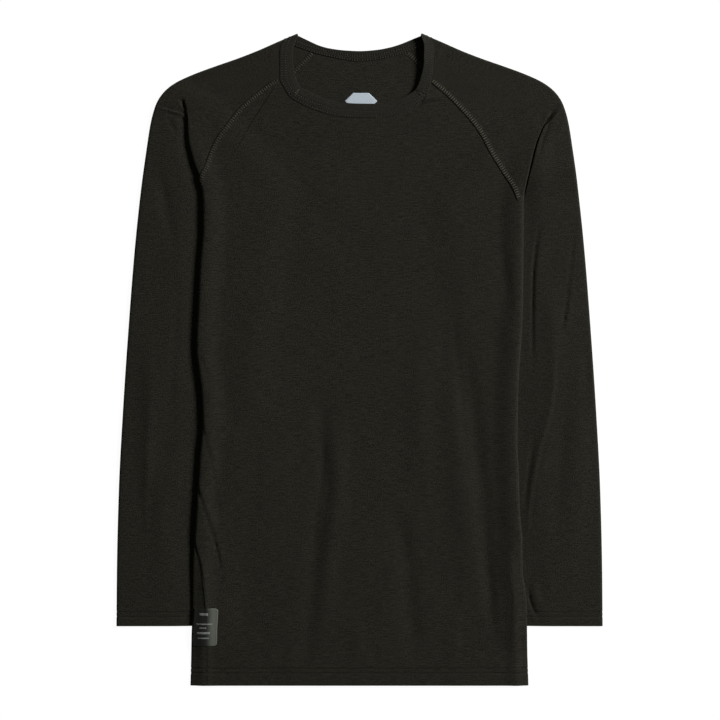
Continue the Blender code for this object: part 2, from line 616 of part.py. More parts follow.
def body_side(side, y):
    """Section of the body's side at y: from the split line over the edge to where it lies flat.

    Returns its points and the numbers of those where it starts to round and where it is widest.
    """
    edge = float(side.edge(y))
    start_x = edge - EDGE_RADIUS
    top = run(edge - SPLIT_IN, start_x, lambda x: top_height(side, x, y), FINE["top"])
    low = float(back_height(side, start_x, y))
    middle = (top[-1, 1] + low) / 2.0
    rounded = arc(start_x, middle, EDGE_RADIUS, (top[-1, 1] - low) / 2.0, 90.0, -90.0, FINE["rounded"])
    flat_x = float(side.inner(y)) - RAMP_START
    below = run(start_x, flat_x, lambda x: back_height(side, x, y), FINE["below"])
    return join([top, rounded, below]), FINE["top"], FINE["top"] + FINE["rounded"] // 2


def resample(section, start, end, cells):
    """Points between two distances along a section, closer together where it turns."""
    way = length_along(section)
    steps = np.diff(section, axis=0)
    heading = np.unwrap(np.arctan2(steps[:, 1], steps[:, 0]))
    bend = np.concatenate(([0.0], np.cumsum(np.abs(np.diff(heading))), [0.0]))
    bend[-1] = bend[-2]
    measure = way + TURN_WEIGHT * bend
    stops = np.linspace(np.interp(start, way, measure), np.interp(end, way, measure), cells + 1)
    at = np.interp(stops, measure, way)
    return np.stack([np.interp(at, way, section[:, 0]), np.interp(at, way, section[:, 1])], axis=1)


def make_seam_round(side):
    """Function of y: the way round from the body's outermost line to the side seam."""
    section, _, edge_index = body_side(side, UNDERARM_Y)
    way = length_along(section[edge_index:])
    seam_x = float(side.back_raglan(UNDERARM_Y))
    at_underarm = np.interp(-seam_x, -section[edge_index:, 0], way)
    return smooth_through(np.concatenate(([UNDERARM_Y], SIDE_SEAM["y"])),
                          np.concatenate(([at_underarm], SIDE_SEAM["round"])))


seam_round = {side.name: make_seam_round(side) for side in (RIGHT, LEFT)}


def split_side(side, y):
    """The front's outer and rounded stretches and the back's stretch of one side section.

    Where the side seam lies on a bend the gap is wider outside, to be the seam gap inside.
    """
    section, top_index, edge_index = body_side(side, y)
    way = length_along(section)
    seam = way[edge_index] + float(seam_round[side.name](y))
    turn_at = min(way[top_index] - SEAM_GAP, seam - LEAST_ROUND)
    outer = resample(section, 0.0, turn_at, OUTER_CELLS)
    half_gap = SEAM_GAP / 2.0
    for _ in range(2):
        rounded = resample(section, turn_at, seam - half_gap, ROUND_CELLS)
        back = resample(section, seam + half_gap, way[-1], BACK_SIDE_CELLS)
        before, after = rounded[-1] - rounded[-2], back[1] - back[0]
        bend = math.atan2(before[0] * after[1] - before[1] * after[0], float(before @ after))
        half_gap = SEAM_GAP / 2.0 + BEND_MARGIN * JERSEY * math.tan(abs(bend) / 2.0)
    return outer, rounded, back


def mirrored(points, side):
    """Outward measures of a side to the object's own x."""
    points = np.array(points)
    points[:, 0] *= side.sign
    return points


def with_hem(points, y):
    """Stand a row up at the turned hem, all but what rests on the surface."""
    share = np.clip(points[:, 2:] / HEM_FULL_RAISE, 0.0, 1.0)
    raised = turned_raise(y, HEM_Y, HEM_DEPTH) * share
    return points + raised * np.array([0.0, 0.0, 1.0])


def body_rows(stations):
    """Rows of the front and of the back panel from the underarm point to the hem."""
    front = []
    back = []
    for y in stations:
        right_outer, right_round, right_back = split_side(RIGHT, y)
        left_outer, left_round, left_back = split_side(LEFT, y)
        start_x, end_x = -right_outer[0, 0], left_outer[0, 0]
        x = np.linspace(start_x, end_x, CENTRE_CELLS + 1)
        z = np.where(x < 0.0, top_height(RIGHT, -x, y), top_height(LEFT, x, y))
        centre = np.stack([x, np.full_like(x, y), z], axis=1)
        right_path = mirrored(lay(join([right_outer, right_round]), y), RIGHT)[::-1]
        left_path = mirrored(lay(join([left_outer, left_round]), y), LEFT)
        front.append(with_hem(join([right_path, centre, left_path]), y))
        start_x, end_x = -right_back[-1, 0], left_back[-1, 0]
        x = np.linspace(start_x, end_x, BACK_CENTRE_CELLS + 1)
        centre = np.stack([x, np.full_like(x, y), np.zeros_like(x)], axis=1)
        right_path = mirrored(lay(right_back, y), RIGHT)
        left_path = mirrored(lay(left_back, y), LEFT)[::-1]
        back.append(with_hem(join([right_path, centre, left_path]), y))
    return front, back


def both_heights(x, y):
    """Height of the front at any place, x in the object's own direction."""
    return np.where(x < 0.0, top_height(RIGHT, np.abs(x), y), top_height(LEFT, np.abs(x), y))


def both_backs(x, y):
    """Height of the back panel's outer face at any place."""
    return np.where(x < 0.0, back_height(RIGHT, np.abs(x), y), back_height(LEFT, np.abs(x), y))


def across_row(row):
    """How far across a row each of its points lies, from 0 to 1."""
    return (row[:, 0] - row[0, 0]) / (row[-1, 0] - row[0, 0])


def yoke_rows(first_line, last_row, right_ends, left_ends, heights):
    """Rows above the underarm point, between a neckline and the first full row of a panel.

    The rows are a patch blended from the neckline, the last row and the two raglan seams.
    """
    across = across_row(last_row)
    top_line = first_line(across)
    bottom_line = last_row[:, :2]
    rows = []
    for index, (right_end, left_end) in enumerate(zip(right_ends, left_ends)):
        if index == 0:
            right_end, left_end = top_line[0], top_line[-1]
        right_end, left_end = np.array(right_end), np.array(left_end)
        fall = 0.5 * (right_ends[0][1] - right_end[1]) / (right_ends[0][1] - UNDERARM_Y)
        fall += 0.5 * (left_ends[0][1] - left_end[1]) / (left_ends[0][1] - UNDERARM_Y)
        fall *= index > 0
        plain = (1.0 - fall) * top_line + fall * bottom_line
        plan = (plain + (right_end - plain[0]) * (1.0 - across)[:, None]
                + (left_end - plain[-1]) * across[:, None])
        rows.append(np.column_stack([plan, heights(plan[:, 0], plan[:, 1])]))
    return rows


# ------------------------------------------------------------------------------------- neck


def plan_curve(ways, xs, ys):
    """Smooth curve in plan through points at the given distances."""
    x_at = smooth_through(ways, xs)
    y_at = smooth_through(ways, ys)
    return lambda way: np.stack([x_at(way), y_at(way)], axis=-1)


def shoulder_peak(seam_y, sign):
    """Where the band's sewn edge crosses the shoulder line, and outwards from there."""
    point, outward = outline_point(float(outline_way(seam_y)))
    turn = np.array([sign, 1.0])
    return point * turn, outward * turn


def band_curves(band, peak_rows_and_signs):
    """Sewn and free edge of one half of the band, each drawn back from the peaks by the radius
    at which the band goes over them."""
    seam = np.stack([band["seam_x"], band["seam_y"]], axis=1)
    free = np.stack([band["free_x"], band["free_y"]], axis=1)
    for row, sign in peak_rows_and_signs:
        point, outward = shoulder_peak(band["seam_y"][row], sign)
        seam[row] = point - outward * SLEEVE_EDGE_RADIUS
        free[row] = free[row] - outward * SLEEVE_EDGE_RADIUS
    ways = length_along(seam)
    return ways, plan_curve(ways, seam[:, 0], seam[:, 1]), plan_curve(ways, free[:, 0], free[:, 1])


front_ways, front_seam, front_free = band_curves(FRONT_BAND, ((0, -1), (-1, 1)))
back_ways, back_seam, back_free = band_curves(BACK_BAND, ((0, 1), (-1, -1)))
CORNER_WAYS = (front_ways[CORNER_ROWS[0]], front_ways[CORNER_ROWS[1]])


def beside_band(way):
    """Point one seam gap outside the band's sewn edge."""
    run_on = front_seam(way + 0.5) - front_seam(way - 0.5)
    run_on = run_on / np.linalg.norm(run_on, axis=-1, keepdims=True)
    outward = np.stack([run_on[..., 1], -run_on[..., 0]], axis=-1)
    return front_seam(way) + SEAM_GAP * outward


def neck_seam_line(side):
    """Sleeve's edge along the band, from the front corner (0) to the shoulder peak (1)."""
    if side.sign < 0:
        start, end = CORNER_WAYS[0] - CORNER_CLEAR, front_ways[0]
    else:
        start, end = CORNER_WAYS[1] + CORNER_CLEAR, front_ways[-1]
    turn = np.array([side.sign, 1.0])
    peak = front_seam(end) * turn
    _, outward = outline_point(float(outline_way(peak[1])))
    last = peak + PEAK_CLEAR * np.array([outward[1], -outward[0]])
    almost = 0.98 * (end - start)
    shift = last - (beside_band(start + almost) + front_seam(end) - front_seam(start + almost)) * turn

    def at(part):
        way = start + almost * part
        run_out = front_seam(start + (end - start) * part) - front_seam(way)
        return (beside_band(way) + run_out) * turn + shift * part

    return at


def front_neckline(across):
    """Neckline of the front panel, from 0 at the right raglan seam to 1 at the left one."""
    start, end = CORNER_WAYS[0] + CORNER_CLEAR, CORNER_WAYS[1] - CORNER_CLEAR
    return beside_band(start + (end - start) * across)


def back_neckline(across):
    """Neckline of the back panel, one seam gap below the band."""
    start, end = back_ways[BACK_CORNER_ROWS[0]], back_ways[BACK_CORNER_ROWS[1]]
    inset = SEAM_GAP / 2.0 * np.array([1.0, 0.0])
    line = back_seam(start + (end - start) * across) - np.array([0.0, SEAM_GAP])
    return line + inset * (1.0 - 2.0 * np.asarray(across))[..., None]


def band_station(seam, free, height, crown):
    """Three points across the band, its middle a little proud."""
    plan = np.stack([seam, (seam + free) / 2.0, free])
    return np.column_stack([plan, [height, height + crown, height]])


def front_band_rows(across):
    """Rows across the band from peak to peak, with the front panel's own columns between."""
    ways = np.concatenate([
        np.linspace(front_ways[0], CORNER_WAYS[0], BAND_SIDE_CELLS + 1)[:-1],
        CORNER_WAYS[0] + (CORNER_WAYS[1] - CORNER_WAYS[0]) * across,
        np.linspace(CORNER_WAYS[1], front_ways[-1], BAND_SIDE_CELLS + 1)[1:]])
    rows = []
    for way in ways:
        seam, free = front_seam(way), front_free(way)
        height = float(both_heights(seam[0:1], seam[1:2])[0]) + BAND_RISE
        crown = BAND_CROWN * min(1.0, (way - ways[0]) / BAND_CROWN_RUN, (ways[-1] - way) / BAND_CROWN_RUN)
        rows.append(band_station(seam, free, height, crown))
    return ways, rows


def peak_rows(row, seam_y, sign, cells):
    """Rows of the band over a shoulder peak, from its last front row round to the surface."""
    _, outward = shoulder_peak(seam_y, sign)
    rows = []
    for angle in np.radians(np.linspace(90.0, -90.0, cells + 1)[1:]):
        plan = row[:, :2] + SLEEVE_EDGE_RADIUS * math.cos(angle) * outward
        rows.append(np.column_stack([plan, row[:, 2] / 2.0 * (1.0 + math.sin(angle))]))
    return rows


def back_band_rows(across):
    """Rows across the band on the surface, between its corners with the back raglan seams."""
    left_corner, right_corner = back_ways[BACK_CORNER_ROWS[1]], back_ways[BACK_CORNER_ROWS[0]]
    ways = left_corner + (right_corner - left_corner) * (1.0 - across[::-1])
    return [band_station(back_seam(way), back_free(way), 0.0, 0.0) for way in ways]


# ------------------------------------------------------------------------------ making meshes


class Sheet:
    """Faces of one piece's outer face, gathered from blocks of rows."""

    def __init__(self):
        self.points = []
        self.faces = []

    def add(self, rows, flip):
        """Add a block of rows with equal numbers of points."""
        start = len(self.points)
        width = len(rows[0])
        for row in rows:
            self.points.extend(np.asarray(row) * MM)
        for line in range(len(rows) - 1):
            for column in range(width - 1):
                first = start + line * width + column
                face = (first, first + 1, first + width + 1, first + width)
                self.faces.append(face[::-1] if flip else face)


def cloth_material(name, colour, roughness):
    """Plain Principled material of one cloth."""
    material = bpy.data.materials.new(name)
    material.use_nodes = True
    shader = material.node_tree.nodes["Principled BSDF"]
    shader.inputs["Base Color"].default_value = (*colour, 1.0)
    shader.inputs["Roughness"].default_value = roughness
    shader.inputs["Metallic"].default_value = 0.0
    material.diffuse_color = (*colour, 1.0)
    return material


def make_piece(name, sheet, thickness, colour, roughness=CLOTH_ROUGHNESS):
    """Make one object from a sheet, with Solidify giving its thickness towards the inside."""
    mesh = bpy.data.meshes.new(name)
    mesh.from_pydata([tuple(point) for point in sheet.points], [], sheet.faces)
    work = bmesh.new()
    work.from_mesh(mesh)
    bmesh.ops.remove_doubles(work, verts=work.verts, dist=0.00002)
    work.to_mesh(mesh)
    work.free()
    piece = bpy.data.objects.new(name, mesh)
    bpy.context.scene.collection.objects.link(piece)
    mesh.materials.append(cloth_material(name + "_cloth", colour, roughness))
    mesh.shade_smooth()
    wall = piece.modifiers.new("thickness", "SOLIDIFY")
    wall.thickness = thickness * MM
    wall.offset = -1.0
    wall.use_even_offset = True
    wall.use_quality_normals = True
    return piece


def armhole_stations(side):
    """The y of each row from the fold's apex to the underarm point, with the fold's turn."""
    rows = [(side.apex_y - down, turn) for down, turn in zip(FOLD_START["down"], FOLD_START["turn"])]
    last = UNDERARM_Y + SEAM_GAP / 2.0
    start = rows[-1][0]
    for index in range(1, ARMHOLE_ROWS + 1):
        rows.append((start + (last - start) * index / ARMHOLE_ROWS, 180.0))
    return rows


def seam_stations(side, raglan, start_y):
    """Points of a raglan seam at every row of the sleeve above the underarm point."""
    rows = [start_y + (side.apex_y - start_y) * index / FAN_ROWS for index in range(FAN_ROWS)]
    rows += [y for y, _ in armhole_stations(side)]
    return [(side.sign * beside(raglan, y, -SEAM_GAP / 2.0), y) for y in rows]


def spaced(start_y, end_y, step):
    """Rows from one y down to another, about a step apart, without the last."""
    count = int(round((start_y - end_y) / step))
    return list(np.linspace(start_y, end_y, count + 1))[:-1]


def hem_stations(end_y, depth):
    """The pair of rows at a turned hem's step, and its edge."""
    return [end_y + depth + TURNED_STEP, end_y + depth - 0.1, end_y]


def body_stations():
    """Rows of the body from the underarm point down, closer where the side seam rounds the edge
    and where the body comes down below the cuffs."""
    below_cuff = CUFF_Y - UNDER_FADE_START
    rows = [UNDERARM_Y - SEAM_GAP / 2.0]
    rows += spaced(UNDERARM_Y - CURL_STEPS[-1], ROUNDING_Y[0], ROW_STEP)
    rows += spaced(ROUNDING_Y[0], ROUNDING_Y[1], ROUNDING_STEP)
    rows += spaced(ROUNDING_Y[1], below_cuff, ROW_STEP)
    rows += spaced(below_cuff, HEM_Y + HEM_DEPTH + TURNED_STEP, ROW_STEP / 2.0)
    return rows + hem_stations(HEM_Y, HEM_DEPTH)


def sleeve(side):
    """One sleeve, from the neck seam to the cuff."""
    cells = SLEEVE_CELLS
    upper = shoulder_rows(side, cells, FAN_ROWS) + armhole_rows(side, cells, armhole_stations(side))
    first = cells["top"] + cells["fold"] + cells["layer"] + cells["turn"]
    stations = [UNDERARM_Y - step for step in CURL_STEPS]
    stations += spaced(stations[-1] - ROW_STEP, CUFF_Y + CUFF_DEPTH, ROW_STEP)
    stations += hem_stations(CUFF_Y, CUFF_DEPTH)
    lower = arm_rows(side, cells, stations, upper[-1][first:])
    sheet = Sheet()
    flip = side.sign > 0
    sheet.add([mirrored(row, side) for row in upper], flip)
    sheet.add([mirrored(row, side) for row in lower], flip)
    return sheet


def panel_sheet(neckline, full_rows, top_row, raglans, start_ys, heights, flip):
    """Front or back panel: the yoke above the underarm points and the full rows below them."""
    right_ends = seam_stations(RIGHT, raglans[0], start_ys[0])[:-1]
    left_ends = seam_stations(LEFT, raglans[1], start_ys[1])[:-1]
    sheet = Sheet()
    sheet.add(yoke_rows(neckline, top_row, right_ends, left_ends, heights) + [top_row], flip)
    sheet.add(full_rows, flip)
    return sheet


def along_band(rows, index, next_index, distance):
    """Move one row of the band towards its neighbour."""
    run_on = rows[next_index] - rows[index]
    rows[index] = rows[index] + run_on / np.linalg.norm(run_on, axis=1)[:, None] * distance


def neck_band(front_across, back_across):
    """The band's front part between the mitres, and the rest over the shoulders and the back."""
    ways, front = front_band_rows(front_across)
    mitres = [int(np.argmin(np.abs(ways - front_ways[row]))) for row in MITRE_ROWS]

    front_part = front[mitres[0]:mitres[1] + 1]
    along_band(front_part, 0, 1, SEAM_GAP / 2.0)
    along_band(front_part, -1, -2, SEAM_GAP / 2.0)
    sheet = Sheet()
    sheet.add(front_part, True)
    make_piece("neck_band_front", sheet, BAND_CLOTH, BAND_COLOUR)

    left_part = front[mitres[1]:]
    along_band(left_part, 0, 1, SEAM_GAP / 2.0)
    right_part = front[mitres[0]::-1]
    along_band(right_part, 0, 1, SEAM_GAP / 2.0)
    rim_cells = SLEEVE_CELLS["rim"]
    left_peak = peak_rows(left_part[-1], FRONT_BAND["seam_y"][-1], 1, rim_cells)
    right_peak = peak_rows(right_part[-1], FRONT_BAND["seam_y"][0], -1, rim_cells)
    back = back_band_rows(back_across)
    sheet = Sheet()
    sheet.add(left_part + left_peak + back + right_peak[::-1] + right_part[::-1], True)
    make_piece("neck_band_back", sheet, BAND_CLOTH, BAND_COLOUR)


def neck_label():
    """Woven label inside the back neck: a bare strip with clipped corners."""
    height = JERSEY + LABEL_LIFT + LABEL_CLOTH
    rows = []
    for y, half in zip(NECK_LABEL["y"], NECK_LABEL["half"]):
        x = NECK_LABEL_X + np.linspace(-half, half, 3)
        rows.append(np.stack([x, np.full(3, y), np.full(3, height)], axis=1))
    sheet = Sheet()
    sheet.add(rows, True)
    make_piece("neck_label", sheet, LABEL_CLOTH, WOVEN_COLOUR, LABEL_ROUGHNESS)


def care_label():
    """Satin label on the wearer's right side edge, across the side seam."""
    rows = []
    for y in np.linspace(CARE_TOP_Y, CARE_TOP_Y - CARE_LENGTH, CARE_ROWS):
        section, _, edge_index = body_side(RIGHT, y)
        end = length_along(section)[edge_index] - CARE_FROM_EDGE
        part = resample(section, end - CARE_WIDTH, end, CARE_CELLS)
        steps = np.gradient(part, axis=0)
        steps /= np.linalg.norm(steps, axis=1)[:, None]
        outward = np.stack([-steps[:, 1], steps[:, 0]], axis=1)
        part = part + outward * (CARE_LIFT + LABEL_CLOTH)
        rows.append(mirrored(lay(part, y), RIGHT))
    sheet = Sheet()
    sheet.add(rows, False)
    make_piece("care_label", sheet, LABEL_CLOTH, SATIN_COLOUR, LABEL_ROUGHNESS)


def main():
    """Build every piece of the top."""
    for old in list(bpy.data.objects):
        bpy.data.objects.remove(old, do_unlink=True)

    for side in (RIGHT, LEFT):
        make_piece(side.name, sleeve(side), JERSEY, JERSEY_COLOUR)

    front, back = body_rows(body_stations())
    top_part = front[0][ROUND_CELLS:len(front[0]) - ROUND_CELLS]
    sheet = panel_sheet(front_neckline, front, top_part, (RIGHT.raglan, LEFT.raglan),
                        (RIGHT.corner_y, LEFT.corner_y), both_heights, True)
    make_piece("front_panel", sheet, JERSEY, JERSEY_COLOUR)
    sheet = panel_sheet(back_neckline, back, back[0], (RIGHT.back_raglan, LEFT.back_raglan),
                        (RIGHT.back_y, LEFT.back_y), both_backs, False)
    make_piece("back_panel", sheet, JERSEY, JERSEY_COLOUR)
    neck_band(across_row(top_part), across_row(back[0]))
    neck_label()
    care_label()


main()
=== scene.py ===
"""Look of a raglan base layer top laid flat: fine cloth on its solids, seams, stitching, labels.

The cloth is laid out as rows of points, as its solids are, but finer and with its small creases,
and each sheet is closed into a thin wall with rounded edges.  +Y points to the neck, +X to the
wearer's left and +Z up.  Tables and functions work in millimetres, the meshes are in metres.
"""

import math
from collections import namedtuple

import bpy
import numpy as np
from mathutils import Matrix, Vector
from mathutils.bvhtree import BVHTree


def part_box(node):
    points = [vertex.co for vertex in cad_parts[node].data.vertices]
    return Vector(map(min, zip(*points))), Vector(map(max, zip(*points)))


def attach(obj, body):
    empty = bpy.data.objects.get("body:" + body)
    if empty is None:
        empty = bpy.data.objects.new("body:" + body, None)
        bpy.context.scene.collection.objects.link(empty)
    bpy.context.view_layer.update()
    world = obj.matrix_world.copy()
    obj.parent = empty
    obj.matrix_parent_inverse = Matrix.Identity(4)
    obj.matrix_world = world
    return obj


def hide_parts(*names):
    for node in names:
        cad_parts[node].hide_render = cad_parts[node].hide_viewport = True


bl_info = {
    "name": "Base Layer Top",
    "version": (1, 0, 0),
    "blender": (4, 5, 0),
    "location": "View3D > Sidebar > Base Layer",
    "description": "Builds the cloth, seams, stitching and labels of a base layer top laid flat",
    "category": "Object",
}

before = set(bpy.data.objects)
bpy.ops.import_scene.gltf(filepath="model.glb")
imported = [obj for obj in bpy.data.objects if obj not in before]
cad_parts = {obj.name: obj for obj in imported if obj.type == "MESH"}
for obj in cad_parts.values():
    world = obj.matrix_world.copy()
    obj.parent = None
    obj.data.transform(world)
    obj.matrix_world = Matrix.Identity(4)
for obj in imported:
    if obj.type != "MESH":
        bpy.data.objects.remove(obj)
MM = 0.001

# -------------------------------------------------------------------- sizes shared with the solids

SEAM_GAP = 0.1          # between two pieces at a seam, closer than between the solids
FLOOR_GAP = 0.2         # cloth on the surface lies this high, on its stitches
HEM_Y = round(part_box("front_panel")[0].y / MM, 1)
CUFF_Y = round(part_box("right_sleeve")[0].y / MM, 1)
UNDERARM_Y = 170.0      # where side seam, underarm seam and both raglan seams meet
HEM_DEPTH = 12.5        # turned hem of the body
HEM_FULL_RAISE = 2.0    # it stands up in full where the cloth lies higher than this
CUFF_DEPTH = 10.5       # turned hem of the sleeve
TURNED_STEP = 0.9       # length of its step
TURNED_RUN = 8.0        # a cuff's step comes up over this width beside the body's edge
CUFF_STEP_PART = 0.6    # its height, as a share of the body's hem
HEM_DOUBLE = 0.6        # what the turned layer adds to the wall at the body's hem
CUFF_DOUBLE = 0.25      # and at a cuff

SLEEVE_FLAT = 2.4       # height of the sleeve pressed flat under the body
UNDER_LIFT = 2.8        # body's underside where it lies on a sleeve
UNDER_FADE_START = 4.0  # it comes down from this far below the cuffs
UNDER_FADE_LOW = 34.0   # over this length
UNDER_FADE_HIGH = 18.0  # and over this length above the underarm point
CHEST_HEIGHT = 3.8      # top of the front where it lies on the back
STACK_RISE = 1.8        # more where it lies on folded layers
STACK_BEFORE = 50.0     # this rise starts so far inside the layers' inner limit
STACK_RUN = 40.0        # and takes this width
STACK_SPREAD = 2.0      # above the fold's apex that limit runs outwards so much faster than up
EDGE_RISE = 2.9         # more again at the rolled side edge
HEM_EDGE_RISE = 1.4
ROLL_BEFORE = 28.0      # it starts so far inside the edge
ROLL_RUN = 22.0
NECK_RISE = 0.6         # more round the neckline, taken as an ellipse
NECK_MIDDLE_Y = 305.0
NECK_HALF_WIDTH = 85.0
NECK_HALF_DEPTH = 48.0
NECK_REACH = 1.9        # this rise has faded at so many times the ellipse
BAND_RISE = 0.45        # neck band above the cloth beside it
SLEEVE_CROWN = 1.5      # sleeve above its pressed height, once clear of the body
CROWN_PART = 0.35       # share of its width over which it rises
SLEEVE_FOLD_PART = 0.12     # share over which its folds come up beside the body
SETTLE_LENGTH = 26.0    # below the fold's apex the sleeve settles to its own height beside it
# Farther out it settles from so far below the apex, over this length.
SETTLE_FAR = {"right_sleeve": (0.0, 26.0), "left_sleeve": (58.0, 42.0)}
SETTLE_LIP = 0.9        # width between what settles beside the fold and what settles farther out
EDGE_CLEAR = 0.35       # the sleeve comes out from below this far outside the body's edge
OPEN_CROWDING = 1.45    # beside that edge the sleeve's points crowd together
FOLD_SHARE = 1.3        # the front's cloth follows the large folds further than its solid
FALL_BEFORE = 15.0      # towards the hem the body falls to its edges from here outwards
FALL_RUN = 12.0

EDGE_RADIUS = 3.8       # plan radius of the rolled side edge
SLEEVE_EDGE_RADIUS = 2.6
FOLD_RADIUS = 1.45      # outer face of a fresh fold
TURN_RADIUS = 0.2       # outer face inside a closed turn

CARE_TOP_Y = -268.4     # care label, over the wearer's right side edge
CARE_LENGTH = 40.5
CARE_WIDTH = 26.0
CARE_FROM_EDGE = 2.5
CARE_LIFT = 0.35        # clear of the cloth that it lies on
NECK_LABEL_X = 1.6      # middle of the neck label

CLOSED = 180.0
FOLD_OPEN_WIDTH = 8.0   # plan width that the fold's cells take where the cloth is still flat
FOLD_SHARES = (0.45, 0.19, 0.18, 0.18)  # of that width, for the fold, the layer and two half turns
OVER_LENGTH = 3.0       # length of cloth in the opening fold's upper bend,
LAYER_LENGTH = 0.6      # between its bends
UNDER_LENGTH = 1.0      # and in the lower one
FOLD_LEAN = 1.5         # how soon its upper bend stands inside the fold's line
# The fold's edge widens between these shares of the way from its apex to the underarm point.
FOLD_WIDEN = {"right_sleeve": (0.0, 0.7), "left_sleeve": (0.82, 1.0)}
CURL_LENGTH = 20.0      # below the underarm point the sleeve's edges turn in to meet
CURL_ANGLE = math.radians(83.0)
CORNER_CLEAR = 0.4      # panels keep this far along the band from a raglan corner
CLEAR_OF_EDGE = 4.5     # the sleeve has risen this far outside an opening fold
NECK_FOLD_PART = 0.62   # where the fold's cells lie along the neck seam
SPLIT_IN = 40.0         # from here outwards the front's rows follow its rolled edge
LEAST_ROUND = 8.0       # the front's rounded stretch is at least this long
RAMP_START = 40.0       # back panel leaves the surface this far inside the sleeve's inner edge
RAMP_END = 8.0
EDGE_CELL = 1.5         # width of the cells next to the back raglan seam
PEAK_CLEAR = 0.45       # sleeve keeps this far from the band along the shoulder line
BAND_CROWN = 0.3        # the band's middle above its edges
BAND_CROWN_RUN = 12.0   # it starts this far from a shoulder peak
BAND_CROWN_POWER = 0.7  # how full it is
BAND_LIFT = 3.0         # its free edge stands up at the wearer's left shoulder
BAND_LIFT_RUN = 55.0    # over this length from the mitre
BAND_LIFT_POWER = 1.5   # how late across the band it comes


def table(columns, *rows):
    """Name the columns of a short table and return each as an array."""
    return {name: np.array(values, float) for name, values in zip(columns.split(), zip(*rows))}


def fold_line(*rows):
    """Points of a large soft fold's line, with its height and half width there."""
    return table("x y height wide", *rows)


def crease_line(*rows):
    """Points of a small crease's line, with its height, half width and lap there."""
    return table("x y height wide lap", *rows)


# Half width of the whole top, the same on both sides: shoulder line, then the sleeve's outer edge.
OUTLINE = table(
    "y half",
    (352.1, 67.5), (342.9, 89.2), (334.3, 108.6), (325.6, 130.8), (317.0, 155.5), (308.3, 179.0),
    (299.7, 197.5), (291.1, 209.2), (282.4, 216.3), (273.8, 220.6), (256.5, 225.5), (226.3, 230.3),
    (183.1, 236.2), (118.3, 243.0), (31.9, 249.8), (-54.5, 255.6), (-140.9, 260.1),
    (-227.3, 262.2), (-287.8, 262.7))

# One table a side, measured outwards from the middle.  fold: edge of the shoulder fold;
# tuck: how far in the folded layer reaches below it.
RIGHT_FOLD = table(
    "y fold tuck",
    (282.4, 189.5, 189.5), (263.0, 186.3, 172.0), (239.0, 185.2, 152.0), (215.5, 180.0, 131.0),
    (192.8, 172.3, 114.0), (180.0, 170.0, 108.5), (170.0, 169.3, 108.0))
LEFT_FOLD = table(
    "y fold tuck",
    (270.5, 207.9, 207.9), (246.8, 196.0, 180.0), (229.5, 189.5, 160.0), (206.8, 184.1, 135.0),
    (190.0, 180.0, 120.0), (180.0, 178.0, 114.5), (170.0, 177.0, 114.0))

# Seam between front panel and sleeve.
RIGHT_RAGLAN = table(
    "y x", (302.4, 85.9), (297.5, 94.5), (283.5, 113.0), (270.5, 127.6), (253.3, 140.9),
    (233.8, 154.3), (212.2, 162.8), (200.0, 165.6), (190.6, 166.4), (180.0, 165.6), (170.0, 165.5))
LEFT_RAGLAN = table(
    "y x", (301.9, 77.5), (287.8, 94.5), (273.8, 108.5), (260.8, 120.4), (244.6, 132.3),
    (224.1, 143.1), (204.7, 155.0), (186.3, 166.9), (170.0, 173.2))

# Seam between back panel and sleeve.
RIGHT_BACK_RAGLAN = table(
    "y x", (332.1, 50.2), (313.7, 68.0), (291.1, 84.0), (258.7, 97.0), (215.5, 104.0),
    (170.0, 106.0))
LEFT_BACK_RAGLAN = table(
    "y x", (332.1, 51.3), (313.7, 70.0), (291.1, 87.0), (258.7, 102.0), (215.5, 110.0),
    (170.0, 112.0))

# Side edge of the body, tucked under on both sides.
RIGHT_EDGE = table(
    "y x", (170.0, 169.3), (142.0, 169.3), (103.1, 172.3), (64.3, 174.2), (16.7, 176.3),
    (-41.6, 170.4), (-68.6, 169.5), (-99.9, 172.3), (-134.5, 174.4), (-177.7, 177.2),
    (-229.5, 180.1), (-268.4, 180.1), (-292.1, 181.2), (-352.1, 182.8))
LEFT_EDGE = table(
    "y x", (170.0, 177.0), (75.1, 176.6), (36.2, 175.5), (-22.1, 171.7), (-61.0, 170.7),
    (-90.2, 170.3), (-119.3, 171.7), (-158.2, 172.7), (-197.1, 175.5), (-226.3, 176.0),
    (-264.1, 180.7), (-292.1, 180.9), (-352.1, 182.6))

# Inner edge of the sleeve, hidden below the body.
RIGHT_UNDERARM = table(
    "y x", (170.0, 108.0), (60.0, 126.0), (-60.0, 143.0), (-180.0, 160.0), (-287.8, 172.0))
LEFT_UNDERARM = table(
    "y x", (170.0, 114.0), (60.0, 130.0), (-60.0, 145.0), (-180.0, 158.0), (-287.8, 170.0))

# Side seam: way round the body's edge from its outermost line, on to the underside (+) or the
# top (-).  Above the first row it runs on to the underarm point.
SIDE_SEAM = table(
    "y round", (60.0, 46.0), (-40.0, 29.0), (-110.0, 15.0), (-160.0, 6.5), (-186.0, 1.5),
    (-196.0, -0.8), (-208.0, -5.0), (-222.0, -9.5), (-238.0, -12.2), (-255.0, -14.2),
    (-300.0, -17.8), (-352.1, -19.4))

# How far the body has fallen at its edges, towards the hem.
EDGE_FALL = {
    "right_sleeve": table("y fall", (-178.0, 0.0), (-215.0, 1.9), (-265.0, 3.1), (-352.1, 2.7)),
    "left_sleeve": table("y fall", (-190.0, 0.0), (-240.0, 2.2), (-295.0, 3.3), (-352.1, 2.7)),
}

